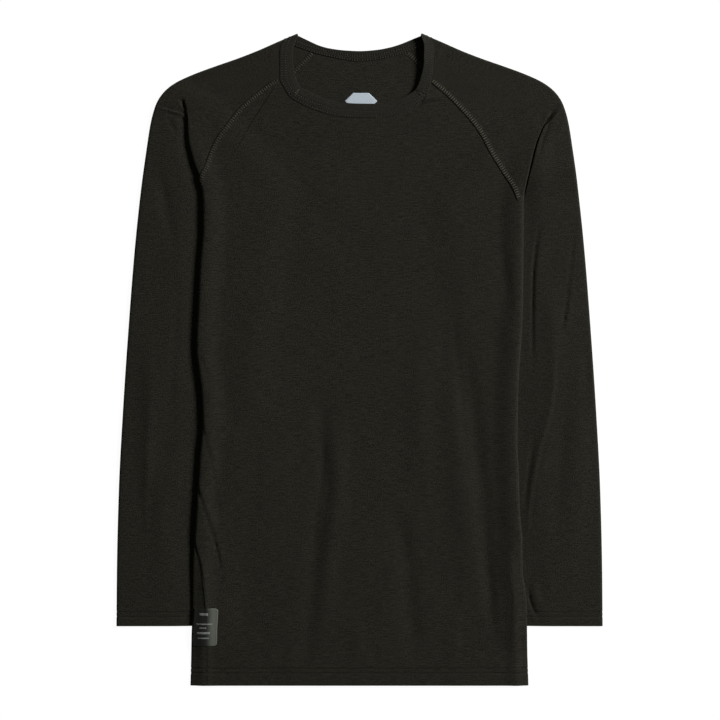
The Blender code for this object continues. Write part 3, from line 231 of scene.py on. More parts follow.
# Neck band from the wearer's right shoulder peak round the front to the left one: its sewn edge
# and its free edge.
FRONT_BAND = table(
    "seam_x seam_y free_x free_y",
    (-82.6, 345.7, -67.5, 352.1), (-84.8, 338.6, -71.0, 340.0), (-86.4, 325.6, -72.2, 326.0),
    (-85.9, 302.4, -69.0, 304.0), (-81.5, 293.2, -66.5, 298.5), (-75.1, 283.5, -63.2, 293.5),
    (-63.2, 275.9, -53.0, 288.5), (-45.9, 268.4, -40.0, 282.5), (-26.5, 263.0, -24.0, 277.8),
    (0.5, 260.8, 0.5, 276.0), (20.0, 260.8, 17.0, 275.9), (44.8, 266.2, 37.0, 279.4),
    (61.0, 272.7, 51.0, 285.0), (71.8, 284.0, 60.5, 291.5), (77.5, 301.9, 66.0, 304.0),
    (79.6, 322.0, 69.6, 322.0), (80.2, 335.0, 69.7, 339.0), (79.4, 347.0, 67.5, 352.1))
CORNER_ROWS = (3, 14)   # rows of the table above where the raglan seams meet the band
MITRE_ROWS = (5, 13)    # where the band's front part is joined to the rest

# The band on the back, from the left peak to the right one.
BACK_BAND = table(
    "seam_x seam_y free_x free_y",
    (79.4, 347.0, 67.5, 352.1), (51.3, 332.1, 47.0, 341.6), (37.3, 328.2, 34.0, 337.4),
    (20.0, 324.5, 18.0, 334.4), (0.5, 322.6, 0.5, 333.2), (-16.7, 324.5, -15.5, 333.9),
    (-36.2, 328.4, -33.0, 336.2), (-50.2, 332.1, -46.0, 340.0), (-82.6, 345.7, -67.5, 352.1))
BACK_CORNER_ROWS = (7, 1)   # rows of the table above where the back raglan seams meet the band

# Neck label, down from its top edge: half its width.
NECK_LABEL = table("y half", (288.1, 8.5), (279.8, 17.0), (278.8, 17.0), (271.0, 8.5))

# Rows below the shoulder fold's apex: how far down, and how far the cloth has turned there.
FOLD_START = table("down turn", (0.0, 0.0), (5.0, 60.0), (11.0, 120.0), (18.0, CLOSED))

# Large soft folds, down each: troughs are negative.
FRONT_FOLDS = {
    "middle_trough": fold_line(
        (-41.6, -30.0, 0.0, 9.0), (-39.4, -95.0, -1.1, 9.0),
        (-36.0, -135.0, -1.2, 9.0), (-44.8, -190.6, -1.1, 10.0), (-51.3, -268.4, -0.9, 10.0),
        (-61.0, -330.0, -0.3, 10.0)),
    "middle_ridge": fold_line(
        (-27.0, -60.0, 0.0, 11.0), (-25.5, -130.0, 1.3, 11.0),
        (-30.8, -180.0, 1.2, 12.0), (-38.0, -240.0, 0.9, 12.0), (-47.0, -310.0, 0.2, 12.0)),
    "left_trough": fold_line(
        (113.0, 25.0, 0.0, 10.0), (120.4, -41.6, -1.1, 10.0),
        (128.0, -105.3, -1.3, 10.0), (134.0, -160.0, -1.2, 10.0), (140.9, -248.9, -0.8, 9.0),
        (145.0, -315.0, 0.0, 9.0)),
    "left_ridge": fold_line(
        (92.0, 10.0, 0.0, 14.0), (100.0, -60.0, 1.2, 15.0),
        (108.0, -130.0, 1.3, 15.0), (117.0, -210.0, 0.9, 14.0), (124.0, -290.0, 0.0, 14.0)),
    "low_trough": fold_line(
        (36.0, -150.0, 0.0, 9.0), (49.1, -207.9, -1.0, 10.0),
        (54.5, -270.0, -1.1, 10.0), (60.0, -325.0, -0.2, 10.0)),
    "chest_swell": fold_line(
        (70.0, 40.0, 0.0, 16.0), (66.0, -40.0, 1.1, 16.0),
        (66.0, -95.0, 0.9, 16.0), (72.0, -150.0, 0.0, 16.0)),
    "right_swell": fold_line(
        (-110.0, 90.0, 0.0, 26.0), (-104.0, 0.0, 0.9, 26.0),
        (-100.0, -110.0, 1.0, 26.0), (-105.0, -230.0, 0.2, 26.0)),
}
SLEEVE_FOLDS = {
    "right_sleeve": {
        "upper_trough": fold_line(
            (222.0, 215.0, 0.0, 7.0), (210.0, 172.0, -0.7, 8.0),
            (203.6, 125.0, 0.0, 8.0)),
        "long_ridge": fold_line(
            (226.0, 40.0, 0.0, 10.0), (226.5, -40.0, 1.1, 10.0),
            (228.0, -110.0, 1.0, 10.0), (227.0, -165.0, 0.0, 10.0)),
        "low_ridge": fold_line(
            (214.0, -110.0, 0.0, 9.0), (214.5, -180.0, 1.0, 9.0),
            (213.0, -235.0, 0.0, 9.0)),
    },
    "left_sleeve": {
        "slant_ridge": fold_line(
            (204.0, 85.0, 0.0, 9.0), (209.5, 30.0, 1.1, 9.0),
            (210.5, -31.9, 1.2, 9.0), (203.6, -75.0, 1.2, 9.0), (193.0, -115.0, 1.1, 9.0),
            (186.0, -160.0, 0.7, 8.0), (181.0, -205.0, 0.0, 8.0)),
        "elbow_swell": fold_line(
            (236.0, 20.0, 0.0, 12.0), (236.0, -90.0, 0.9, 13.0),
            (232.0, -180.0, 0.7, 13.0), (228.0, -240.0, 0.0, 12.0)),
    },
}

# ------------------------------------------------------------------------------- small creases

# Each row is a point of a crease's line, down it: height of its trough (-) or ridge (+), its half
# width, and lap: how much higher the cloth stands on the crease's +X side, or on the other if it
# is negative.  x is the object's own.
FRONT_CREASES = {
    "upper_side": crease_line(
        (-174.0, 20.0, 0.0, 1.6, 0.0), (-170.5, 2.0, -0.5, 1.6, 0.3),
        (-164.5, -16.0, -0.3, 1.8, 0.2), (-161.0, -30.0, 0.0, 2.0, 0.0)),
    "middle_side": crease_line(
        (-170.5, -64.0, 0.0, 1.3, 0.0), (-167.0, -80.0, -0.7, 1.2, 0.5),
        (-162.5, -98.0, -0.7, 1.2, 0.5), (-158.3, -117.7, -0.6, 1.2, 0.4),
        (-152.8, -148.6, -0.4, 1.3, 0.3), (-151.0, -180.0, 0.0, 2.0, 0.0)),
    "lower_side": crease_line(
        (-176.5, -133.0, 0.0, 1.3, 0.0), (-173.2, -143.0, -1.2, 1.3, 0.8),
        (-165.4, -167.0, -1.1, 1.3, 0.8), (-159.8, -183.5, -1.0, 1.3, 0.7),
        (-155.0, -200.0, -0.9, 1.3, 0.6), (-151.6, -215.0, -0.8, 1.3, 0.5),
        (-149.5, -228.0, 0.0, 1.6, 0.0)),
    "right_seam_step": crease_line(
        (-179.0, -186.0, 0.0, 1.2, 0.0), (-177.9, -196.0, -0.5, 1.2, 0.5),
        (-175.6, -208.0, -0.8, 1.2, 0.8), (-171.9, -222.0, -0.8, 1.2, 0.9),
        (-169.4, -238.0, -0.8, 1.2, 0.9), (-167.7, -255.0, -0.7, 1.2, 0.8),
        (-165.5, -300.0, -0.3, 1.3, 0.3), (-165.2, -356.0, -0.3, 1.3, 0.3)),
    "left_low": crease_line(
        (128.0, -185.0, 0.0, 7.0, 0.0), (136.0, -222.0, -0.6, 6.5, 0.0),
        (140.0, -250.0, -0.8, 6.0, 0.0), (143.0, -285.0, -0.5, 6.5, 0.0),
        (146.0, -322.0, 0.0, 7.0, 0.0)),
    "side_return": crease_line(
        (-156.5, -92.0, 0.0, 2.4, 0.0), (-159.0, -104.0, 0.25, 2.4, 0.0),
        (-161.5, -122.0, 0.0, 2.6, 0.0)),
    "side_fork": crease_line(
        (-146.0, -222.0, 0.0, 2.0, 0.0), (-149.5, -238.0, -0.3, 2.0, 0.0),
        (-154.0, -252.0, 0.0, 2.4, 0.0)),
    "left_edge": crease_line(
        (154.0, 125.0, 0.0, 5.0, 0.0), (157.0, 95.0, -0.7, 5.0, 0.0),
        (159.5, 70.0, -0.6, 5.0, 0.0), (160.0, 35.0, 0.0, 6.0, 0.0)),
    "left_neck": crease_line(
        (62.0, 274.6, -1.3, 1.4, 1.6), (70.0, 277.6, -1.4, 1.4, 1.7),
        (80.0, 279.6, -1.1, 1.5, 1.3), (91.0, 280.6, 0.0, 2.0, 0.0)),
    "left_long": crease_line(
        (99.0, 70.0, 0.0, 3.0, 0.0), (103.5, 20.0, -0.3, 3.0, 0.0),
        (109.0, -40.0, -0.45, 3.5, 0.0), (113.0, -90.0, -0.3, 4.0, 0.0),
        (116.0, -130.0, 0.0, 4.0, 0.0)),
    "middle_line": crease_line(
        (-38.0, -66.0, 0.0, 2.4, 0.0), (-38.0, -105.0, -0.25, 2.4, 0.4),
        (-40.0, -130.0, -0.25, 2.4, 0.5), (-45.0, -165.0, -0.2, 3.0, 0.4),
        (-50.0, -215.0, 0.0, 3.0, 0.0)),
    "belly_drag": crease_line(
        (-120.0, -20.0, 0.0, 6.0, 0.0), (-96.0, -46.0, -0.35, 7.0, 0.0),
        (-72.0, -60.0, 0.0, 7.0, 0.0)),
    "chest_drag": crease_line(
        (-60.0, 190.0, 0.0, 7.0, 0.0), (-20.0, 180.0, 0.3, 8.0, 0.0),
        (24.0, 186.0, 0.0, 7.0, 0.0)),
    "hem_pull": crease_line(
        (-78.0, -300.0, 0.0, 5.0, 0.0), (-84.0, -322.0, -0.4, 5.0, 0.0),
        (-90.0, -344.0, -0.2, 5.0, 0.0)),
    "low_wave": crease_line(
        (-6.0, -262.0, 0.0, 7.0, 0.0), (-2.0, -300.0, 0.45, 7.0, 0.0),
        (0.0, -346.0, 0.2, 7.0, 0.0)),
    "left_hem_wave": crease_line(
        (98.0, -268.0, 0.0, 8.0, 0.0), (101.0, -310.0, 0.5, 8.0, 0.0),
        (103.0, -350.0, 0.3, 8.0, 0.0)),
}
RIGHT_SLEEVE_CREASES = {
    "shoulder_nick": crease_line(
        (-219.5, 272.9, 0.3, 1.3, -0.4), (-211.0, 270.4, 0.7, 1.2, -0.9),
        (-198.0, 266.6, 0.7, 1.2, -0.9), (-190.5, 264.6, 0.6, 1.3, -0.6)),
    "nick_shade": crease_line(
        (-209.0, 266.5, 0.0, 1.6, 0.0), (-199.0, 263.0, -1.0, 1.7, 0.0),
        (-191.0, 261.0, -1.2, 1.8, 0.0)),
    "drag": crease_line(
        (-209.5, 263.0, 0.0, 2.0, 0.0), (-204.0, 254.5, -0.8, 1.8, 0.0),
        (-199.0, 246.5, -0.5, 2.0, 0.0), (-195.0, 236.0, 0.0, 3.0, 0.0)),
    "shoulder_drag": crease_line(
        (-178.0, 294.0, 0.0, 1.6, 0.0), (-163.0, 288.0, -0.3, 1.6, 0.0),
        (-148.0, 279.0, -0.3, 1.6, 0.0), (-134.0, 270.0, 0.0, 1.8, 0.0)),
    "yoke_drag": crease_line(
        (-170.0, 264.0, 0.0, 1.8, 0.0), (-160.0, 256.0, -0.3, 1.8, 0.0),
        (-150.0, 246.0, 0.0, 2.0, 0.0)),
    "upper_soft": crease_line(
        (-218.0, 214.0, 0.0, 4.5, 0.0), (-211.5, 176.0, -0.45, 5.0, 0.0),
        (-205.0, 142.0, -0.3, 5.0, 0.0), (-201.0, 112.0, 0.0, 5.0, 0.0)),
    "forearm_line": crease_line(
        (-226.0, -20.0, 0.0, 3.2, 0.0), (-227.5, -70.0, 0.5, 3.2, 0.0),
        (-229.5, -120.0, 0.6, 3.2, 0.0), (-230.0, -165.0, 0.45, 3.2, 0.0),
        (-229.0, -200.0, 0.0, 3.2, 0.0)),
    "inner_soft": crease_line(
        (-196.0, 92.0, 0.0, 4.0, 0.0), (-199.0, 30.0, -0.4, 4.5, 0.0),
        (-203.0, -30.0, -0.35, 4.5, 0.0), (-205.0, -80.0, 0.0, 5.0, 0.0)),
    "cuff_smudge": crease_line(
        (-209.0, -267.5, 0.0, 3.0, 0.0), (-198.0, -260.0, -0.6, 3.4, 0.0),
        (-189.0, -252.0, -0.4, 3.0, 0.0), (-184.0, -246.0, 0.0, 3.0, 0.0)),
    "cuff_cross": crease_line(
        (-243.0, -222.0, 0.0, 3.0, 0.0), (-228.0, -226.0, -0.25, 3.0, 0.0),
        (-206.0, -224.0, 0.0, 3.0, 0.0)),
}
LEFT_SLEEVE_CREASES = {
    "fold_swell": crease_line(
        (218.0, 268.0, 0.0, 10.0, 0.0), (208.5, 252.0, 0.7, 11.0, 0.0),
        (199.5, 234.0, 1.1, 12.0, 0.0), (194.5, 214.0, 1.2, 12.0, 0.0),
        (190.0, 195.0, 1.0, 12.0, 0.0), (187.0, 174.0, 0.4, 12.0, 0.0),
        (186.0, 160.0, 0.0, 12.0, 0.0)),
    "fold_drag": crease_line(
        (207.0, 262.0, 0.0, 2.2, 0.0), (202.5, 250.0, -0.7, 2.2, 0.0),
        (196.5, 232.0, -0.6, 2.4, 0.0), (192.0, 214.0, 0.0, 2.6, 0.0)),
    "shoulder_pull": crease_line(
        (201.5, 275.0, 0.0, 1.8, 0.0), (198.5, 266.0, -0.8, 1.8, 0.0),
        (195.0, 255.0, -0.5, 1.8, 0.0), (192.0, 247.0, 0.0, 2.0, 0.0)),
    "outer_pull": crease_line(
        (226.0, 268.0, 0.0, 3.0, 0.0), (219.0, 254.0, 0.4, 3.0, 0.0),
        (211.0, 238.0, 0.0, 3.0, 0.0)),
    "inner_valley": crease_line(
        (196.0, 152.0, 0.0, 2.6, 0.0), (191.0, 125.0, -0.8, 2.2, 0.3),
        (187.6, 84.0, -1.1, 1.8, 0.6), (187.0, 40.5, -1.0, 1.8, 0.6), (187.0, 10.0, -0.5, 2.2, 0.2),
        (187.0, -14.0, 0.0, 3.0, 0.0)),
    "slant_line": crease_line(
        (211.0, 40.0, 0.0, 2.2, 0.0), (212.0, -2.0, 0.1, 2.0, -0.35),
        (210.5, -28.0, 0.25, 2.0, -0.75), (205.2, -62.0, 0.3, 2.0, -0.85),
        (196.0, -93.0, 0.3, 2.0, -0.85), (190.0, -122.0, 0.3, 2.0, -0.8),
        (185.3, -150.0, 0.25, 2.0, -0.65), (182.4, -180.0, 0.1, 2.2, -0.3),
        (180.5, -212.0, 0.0, 2.4, 0.0)),
    "low_valley": crease_line(
        (189.0, -80.0, 0.0, 2.6, 0.0), (185.0, -108.0, -0.8, 2.4, 0.0),
        (181.0, -135.0, -0.8, 2.2, 0.0), (178.8, -160.0, 0.0, 2.4, 0.0)),
    "outer_line": crease_line(
        (232.5, 150.0, 0.0, 1.4, 0.0), (229.5, 112.9, -0.6, 1.3, 0.3),
        (226.5, 85.0, -0.8, 1.2, 0.5), (222.9, 55.6, -1.1, 1.2, 0.8), (220.8, 40.0, -0.9, 1.2, 0.6),
        (219.5, 28.0, 0.0, 1.6, 0.0)),
    "outer_soft": crease_line(
        (243.0, 20.0, 0.0, 4.0, 0.0), (245.0, -10.0, -0.5, 4.0, 0.0),
        (244.0, -45.0, 0.0, 5.0, 0.0)),
    "cuff_hollow": crease_line(
        (181.5, -246.0, 0.0, 2.2, 0.0), (183.5, -257.0, -1.2, 2.0, 0.6),
        (187.0, -268.0, -1.2, 2.0, 0.6), (193.0, -277.0, 0.0, 2.6, 0.0)),
    "cuff_swell": crease_line(
        (187.0, -236.0, 0.0, 4.0, 0.0), (191.0, -254.0, 0.9, 4.0, 0.0),
        (197.0, -270.0, 0.0, 4.0, 0.0)),
    "forearm_soft": crease_line(
        (222.0, -60.0, 0.0, 5.0, 0.0), (218.0, -110.0, -0.45, 5.0, 0.0),
        (214.0, -160.0, -0.3, 5.0, 0.0), (212.0, -200.0, 0.0, 5.0, 0.0)),
}
# Creases of the side that the top lies on: shallow hollows up from the surface.
BACK_CREASES = {
    "shoulder_hollow": crease_line(
        (-60.0, 250.0, 0.0, 8.0, 0.0), (-20.0, 236.0, 0.4, 9.0, 0.0),
        (30.0, 240.0, 0.3, 8.0, 0.0), (66.0, 256.0, 0.0, 8.0, 0.0)),
    "waist_hollow": crease_line(
        (-82.0, 60.0, 0.0, 8.0, 0.0), (-74.0, -10.0, 0.5, 9.0, 0.0),
        (-70.0, -90.0, 0.4, 9.0, 0.0), (-76.0, -170.0, 0.0, 8.0, 0.0)),
    "left_hollow": crease_line(
        (70.0, 10.0, 0.0, 7.0, 0.0), (78.0, -70.0, 0.5, 8.0, 0.0),
        (84.0, -150.0, 0.3, 8.0, 0.0), (88.0, -230.0, 0.0, 8.0, 0.0)),
    "low_hollow": crease_line(
        (8.0, -150.0, 0.0, 7.0, 0.0), (2.0, -220.0, 0.4, 8.0, 0.0),
        (-4.0, -300.0, 0.2, 8.0, 0.0), (-6.0, -340.0, 0.0, 8.0, 0.0)),
}
SLEEVE_UNDER_CREASES = {
    "left_elbow": crease_line(
        (206.0, 60.0, 0.0, 7.0, 0.0), (214.0, 0.0, 0.4, 8.0, 0.0),
        (212.0, -60.0, 0.0, 7.0, 0.0)),
    "left_forearm": crease_line(
        (224.0, -110.0, 0.0, 6.0, 0.0), (219.0, -170.0, 0.4, 7.0, 0.0),
        (222.0, -230.0, 0.0, 6.0, 0.0)),
    "right_elbow": crease_line(
        (-210.0, 84.0, 0.0, 7.0, 0.0), (-216.0, 20.0, 0.4, 8.0, 0.0),
        (-212.0, -30.0, 0.0, 7.0, 0.0)),
    "right_forearm": crease_line(
        (-218.0, -96.0, 0.0, 6.0, 0.0), (-224.0, -150.0, 0.4, 7.0, 0.0),
        (-220.0, -216.0, 0.0, 6.0, 0.0)),
}
TOP_CREASES = {**FRONT_CREASES, **RIGHT_SLEEVE_CREASES, **LEFT_SLEEVE_CREASES}
UNDER_CREASES = {**BACK_CREASES, **SLEEVE_UNDER_CREASES}

# --------------------------------------------------------------------------------- fine layout

SLEEVE_CELLS = dict(top=26, fold=12, layer=8, turn=3, below=4, open=38, rim=8, back=30)
FAN_ROWS = 30           # rows between neck seam and the shoulder fold's apex
FOLD_ROW_STEP = 1.2     # between rows where the shoulder fold starts
ARMHOLE_STEP = 2.9      # between rows below it
YOKE_ROWS = 92
ROW_STEP = 2.9          # between rows of the sleeve's tube and of the front
BACK_ROW_STEP = 4.4
CENTRE_CELLS = 112      # across the front between its two split lines
OUTER_CELLS = 16        # from a split line to the rolled edge
ROUND_CELLS = 16        # round the edge to the side seam
BACK_SIDE_CELLS = 22    # back panel from the side seam to where it lies flat
BACK_CENTRE_CELLS = 56
FINE = dict(top=40, rounded=24, below=60)   # cells of a section before it is sampled
TURN_WEIGHT = 8.0       # millimetres of length that one radian of turn counts for, in sampling
BAND_CELLS = 30         # across the neck band
BAND_SIDE_CELLS = 30    # along it from a shoulder peak to the raglan corner
CREASE_STEP = 5.0       # between points of a crease's line
LAP_RUN = 0.9           # a lap rises over this width
LAP_TAIL = 7.0          # and fades over this one
RIM_CELLS = 3           # round the edge of a cloth wall
CLOTH_BULGE = 0.15      # that edge stands out so far
BAND_BULGE = 0.35
NECK_LABEL_BULGE = 0.1
NECK_LABEL_CLEAR = 0.1  # the neck label lies so far above the cloth
NECK_LABEL_ROWS = 8     # between two rows of its table
NECK_LABEL_CELLS = 16   # across it
SHARP_CLOTH = 50.0      # an edge of cloth that turns by more degrees stays sharp
SHARP_TRIM = 60.0
RELIEF_TILT = 0.35      # cloth is creased where its normal's z is more than this, up or down,
RELIEF_RUN = 0.5        # and in full this much farther
FREE_START = 1.0        # a sleeve is creased from so far outside the body's edge,
FREE_RUN = 3.0          # in full this much farther out,
FREE_LIFT = 0.2         # or where it lies this much above the height of the body's underside,
FREE_RISE = 0.6         # in full this much higher
UNEVEN_SEED = 3
UNEVEN_WAVES = 26       # waves that loose cloth's unevenness is made of
UNEVEN_LENGTHS = (20.0, 75.0)   # shortest and longest of them
UNDERARM_STEP = 1.0     # between a sleeve's rows just below the underarm point
HEM_END_STEP = 1.0      # and between the last two rows at the edge of a hem
STITCH_ZONE = 8.0       # rows are close together so far above a turned hem's step
GROOVE_STEP = 0.55
GROOVE_HALF = 0.65      # half width and depth of the groove that a row of stitches draws
GROOVE_DEPTH = 0.35
MITRE_GAP = 0.28        # half the gap between the band's two parts at a mitre

# ------------------------------------------------------------------------------------ stitching

HEM_LINES = (13.4, 18.6)    # rows of stitches above the hem's edge
CUFF_LINES = (10.4, 15.2)
HEM_STITCH_GAP = 0.5
BAND_LINES = (2.2, 7.2)     # the band's two rows, from its sewn edge
BACK_BAND_LINES = (0.9, 5.4)    # the same on the inside, where the band's back shows
SEAM_OFFSETS = (-3.4, -2.2, -1.1, 0.0, 1.1, 2.2, 2.8)   # across a flat seam's cover
SEAM_PROFILE = (-0.05, 0.5, 0.8, 0.7, 0.95, 1.0, -0.05) # its height there, in shares
STRIP_SINK = 0.12       # its lower face lies so far inside the cloth
COVER_HEIGHT = 0.5      # of a seam's cover
LOW_COVER = 0.02        # and where the seam lies on the surface
INSIDE_COVER = 0.15     # and inside the neck
SIDE_COVER = 0.05       # and down the sides
SIDE_NARROW = 0.75      # share of its width there
PROUD_TILT = -0.9       # trim comes up from nothing where its normal's z is this,
PROUD_RUN = 0.6         # to its full height this much farther
RAGLAN_POINTS = 60      # places where a raglan seam's line is worked out
OVER_EDGE_Y = 190.0     # here the wearer's right raglan seam goes over the fold's edge,
OVER_EDGE_RUN = 22.0    # drawn towards it over this length
OVER_EDGE_END = 4.0     # and so far on it is out of sight
SEAM_START = 1.6        # a seam's cover keeps this far from the ends of the seam
INSIDE_SEAM_END_Y = 255.0   # lower end of what shows of the back raglan seams inside the neck
THREAD_RINGS = 5
THREAD_SIDES = 6
THREAD_PROUD = 0.3      # share of its radius that a thread's ends stand above the cloth
UNDER_THREAD = 0.09     # radius of threads that the top lies on
DOWNWARD = -0.5         # cloth looks down where its normal's z is less than this
LEFT_STITCH_TILT = 0.6  # on the wearer's left the side seam is blind where it looks up more
TACK_PART = 1.2         # thickness of the mitres' stitches, in threads
RUNG_PART = 1.6         # and of a cover stitch's rungs, where several threads lie together
HEM_PART = 2.1          # and of what shows of the hems' stitches
RAIL_PART = 1.3         # and of a cover stitch's two lines
BAND_COVER_HALF = 0.9   # half width of the band's rows of cover stitching
BOW = 0.12              # how far a thread bows out between its ends
HEM_STITCH = 3.0        # length of a stitch of the hems
SIDE_STITCH = 2.8       # and of the side seams
LOW_BAND = 1.0          # the band's rows lower than this lie on the surface
# Long stitches at a mitre: how far from it, and between which distances across the band.
TACKS = table("offset start end", (0.25, 7.0, 13.6), (0.9, 5.2, 9.0), (1.6, 4.6, 10.4))
CARE_CORNER = 3.0       # radius of the care label's inner corners
# Its bars: how far down it and how high each is, and between which distances across it.
CARE_BARS = table(
    "down high start end", (5.0, 2.6, 11.0, 20.5), (16.2, 1.3, 6.0, 23.0), (20.4, 1.2, 12.0, 20.0),
    (25.4, 2.2, 8.0, 22.0), (31.4, 1.2, 9.0, 21.0))
BAR_THICKNESS = 0.08    # of what shows of a bar; it is let in by half as much again
BAR_SINK = 1.5
PAINTED_SHADE_START = 4.0       # painted shade: the care label's ribbon is painted darker outwards between these lines, where it turns away from the light
PAINTED_SHADE_END = 13.0


# -------------------------------------------------------------------------------------- helpers


def smooth_step(value):
    """Run from 0 to 1 with flat ends."""
    value = np.clip(value, 0.0, 1.0)
    return value * value * (3.0 - 2.0 * value)


def smooth_through(keys, values):
    """Return a function that runs smoothly through numbers or whole rows and never overshoots."""
    keys = np.asarray(keys, float)
    values = np.asarray(values, float)
    if keys[0] > keys[-1]:
        keys = keys[::-1]
        values = values[::-1]
    steps = np.diff(keys)
    wide_steps = steps.reshape((-1,) + (1,) * (values.ndim - 1))
    slopes = np.diff(values, axis=0) / wide_steps
    before, after = slopes[:-1], slopes[1:]
    inner = np.where(before * after > 0.0, 2.0 * before * after / (before + after + 1e-12), 0.0)
    tangents = np.concatenate((slopes[:1], inner, slopes[-1:]))

    def value_at(key):
        key = np.clip(np.asarray(key, float), keys[0], keys[-1])
        cell = np.clip(np.searchsorted(keys, key, side="right") - 1, 0, len(steps) - 1)
        step = steps[cell]
        part = (key - keys[cell]) / step
        if values.ndim > 1:
            step = np.reshape(step, np.shape(step) + (1,) * (values.ndim - 1))
            part = np.reshape(part, np.shape(part) + (1,) * (values.ndim - 1))
        rest = 1.0 - part
        return ((1.0 + 2.0 * part) * rest ** 2 * values[cell]
                + part * rest ** 2 * step * tangents[cell]
                + part ** 2 * (3.0 - 2.0 * part) * values[cell + 1]
                - part ** 2 * rest * step * tangents[cell + 1])

    return value_at


def length_along(points):
    """Distance from the first point to each point of a line."""
    points = np.asarray(points, float)
    steps = np.linalg.norm(np.diff(points, axis=0), axis=1)
    return np.concatenate(([0.0], np.cumsum(steps)))


def unit(vectors):
    """Vectors of length one."""
    return vectors / np.maximum(np.linalg.norm(vectors, axis=-1, keepdims=True), 1e-12)


Side = namedtuple(
    "Side", "name sign apex_y fold tuck raglan back_raglan edge inner corner_y back_y")


def make_side(name, sign, fold, raglan, back_raglan, edge, underarm):
    """Turn one side's tables into smooth functions of y, measured outwards from the middle."""
    return Side(
        name, sign, fold["y"][0],
        smooth_through(fold["y"], fold["fold"]), smooth_through(fold["y"], fold["tuck"]),
        smooth_through(raglan["y"], raglan["x"]),
        smooth_through(back_raglan["y"], back_raglan["x"]),
        smooth_through(edge["y"], edge["x"]), smooth_through(underarm["y"], underarm["x"]),
        raglan["y"][0], back_raglan["y"][0])


RIGHT = make_side("right_sleeve", -1, RIGHT_FOLD, RIGHT_RAGLAN, RIGHT_BACK_RAGLAN, RIGHT_EDGE,
                  RIGHT_UNDERARM)
LEFT = make_side("left_sleeve", 1, LEFT_FOLD, LEFT_RAGLAN, LEFT_BACK_RAGLAN, LEFT_EDGE,
                 LEFT_UNDERARM)

outline_length = length_along(np.stack([OUTLINE["half"], OUTLINE["y"]], axis=1))
outline_x = smooth_through(outline_length, OUTLINE["half"])
outline_y = smooth_through(outline_length, OUTLINE["y"])
outline_way = smooth_through(OUTLINE["y"], outline_length)


def beside(curve, y, gap):
    """x at a distance beside a seam whose x is a function of y, measured square to the seam."""
    slope = float(curve(y + 1.0) - curve(y - 1.0)) / 2.0
    return float(curve(y)) + gap * math.sqrt(1.0 + slope * slope)


def outline_point(way):
    """Point and outward direction in plan at a distance along the outline."""
    reach = 2.0
    ahead = np.array([outline_x(way + reach), outline_y(way + reach)])
    behind = np.array([outline_x(way - reach), outline_y(way - reach)])
    run_on = (ahead - behind) / np.linalg.norm(ahead - behind)
    return np.array([outline_x(way), outline_y(way)]), np.array([-run_on[1], run_on[0]])


# -------------------------------------------------------------------------------------- heights


def edge_fall(side, x, y, edge):
    """How far the body falls towards its edge near the hem."""
    fall = EDGE_FALL[side.name]
    outwards = smooth_step((x - edge + FALL_BEFORE) / FALL_RUN)
    return smooth_through(fall["y"], fall["fall"])(y) * outwards


def fold_height(folds, x, y):
    """Sum of the large soft ridges and troughs at the points of one row or grid."""
    x = np.asarray(x, float)
    y = np.broadcast_to(np.asarray(y, float), x.shape)
    total = np.zeros_like(x)
    for fold in folds.values():
        order = np.argsort(fold["y"])
        line_x = smooth_through(fold["y"], fold["x"])(y)
        wide = np.interp(y, fold["y"][order], fold["wide"][order])
        height = smooth_through(fold["y"], fold["height"])(y)
        inside = (y < fold["y"].max()) & (y > fold["y"].min())
        total += np.where(inside, height * np.exp(-((x - line_x) / wide) ** 2), 0.0)
    return total


def under_lift(y):
    """How high the body's underside lies at its sides: on the sleeve, and down at the hem."""
    below_cuff = smooth_step(1.0 - (CUFF_Y - UNDER_FADE_START - y) / UNDER_FADE_LOW)
    above_underarm = smooth_step((UNDERARM_Y + UNDER_FADE_HIGH - y) / UNDER_FADE_HIGH)
    return UNDER_LIFT * below_cuff * above_underarm


def stack_line(side, y):
    """Inner limit of the layers that lie under the front."""
    above = side.tuck(y) + STACK_SPREAD * np.maximum(y - side.apex_y, 0.0)
    return np.where(y > UNDERARM_Y, above, side.inner(y))


def top_height(side, x, y):
    """Height of the front's or the shoulder's outer face, x measured outwards."""
    x = np.asarray(x, float)
    low = under_lift(np.minimum(y, UNDERARM_Y)) / UNDER_LIFT
    edge = np.where(y > UNDERARM_Y, side.fold(y), side.edge(y))
    down = np.clip((side.apex_y - y) / (side.apex_y - UNDERARM_Y), 0.0, 1.0)
    rise = (EDGE_RISE * low + HEM_EDGE_RISE * (1.0 - low)) * down
    stacked = STACK_RISE * low * smooth_step((x - stack_line(side, y) + STACK_BEFORE) / STACK_RUN)
    rolled = rise * smooth_step((x - edge + ROLL_BEFORE) / ROLL_RUN)
    neck_far = np.hypot(x / NECK_HALF_WIDTH, (y - NECK_MIDDLE_Y) / NECK_HALF_DEPTH)
    neck = NECK_RISE * smooth_step((NECK_REACH - neck_far) / (NECK_REACH - 1.0))
    folds = FOLD_SHARE * fold_height(FRONT_FOLDS, side.sign * x, y)
    return CHEST_HEIGHT + stacked + rolled + neck + folds - edge_fall(side, x, y, edge)


def back_height(side, x, y):
    """Height of the outer face of the body's underside."""
    ramp = (np.asarray(x, float) - (side.inner(y) - RAMP_START)) / (RAMP_START - RAMP_END)
    return np.maximum(under_lift(y) * smooth_step(ramp), FLOOR_GAP)


def sleeve_height(side, x, y, from_x, to_x):
    """Height of the sleeve's outer face between the body's edge and its own."""
    x = np.asarray(x, float)
    part = (x - from_x) / (to_x - from_x)
    crown = SLEEVE_CROWN * smooth_step(part / CROWN_PART)
    folds = fold_height(SLEEVE_FOLDS[side.name], x, y) * smooth_step(part / SLEEVE_FOLD_PART)
    return SLEEVE_FLAT + crown + folds


def turned_raise(y, end_y, depth):
    """How much a turned hem stands up, from none above its step to all of it below."""
    return smooth_step((end_y + depth + TURNED_STEP - np.asarray(y)) / TURNED_STEP)


Nearest = namedtuple("Nearest", "distance place left")


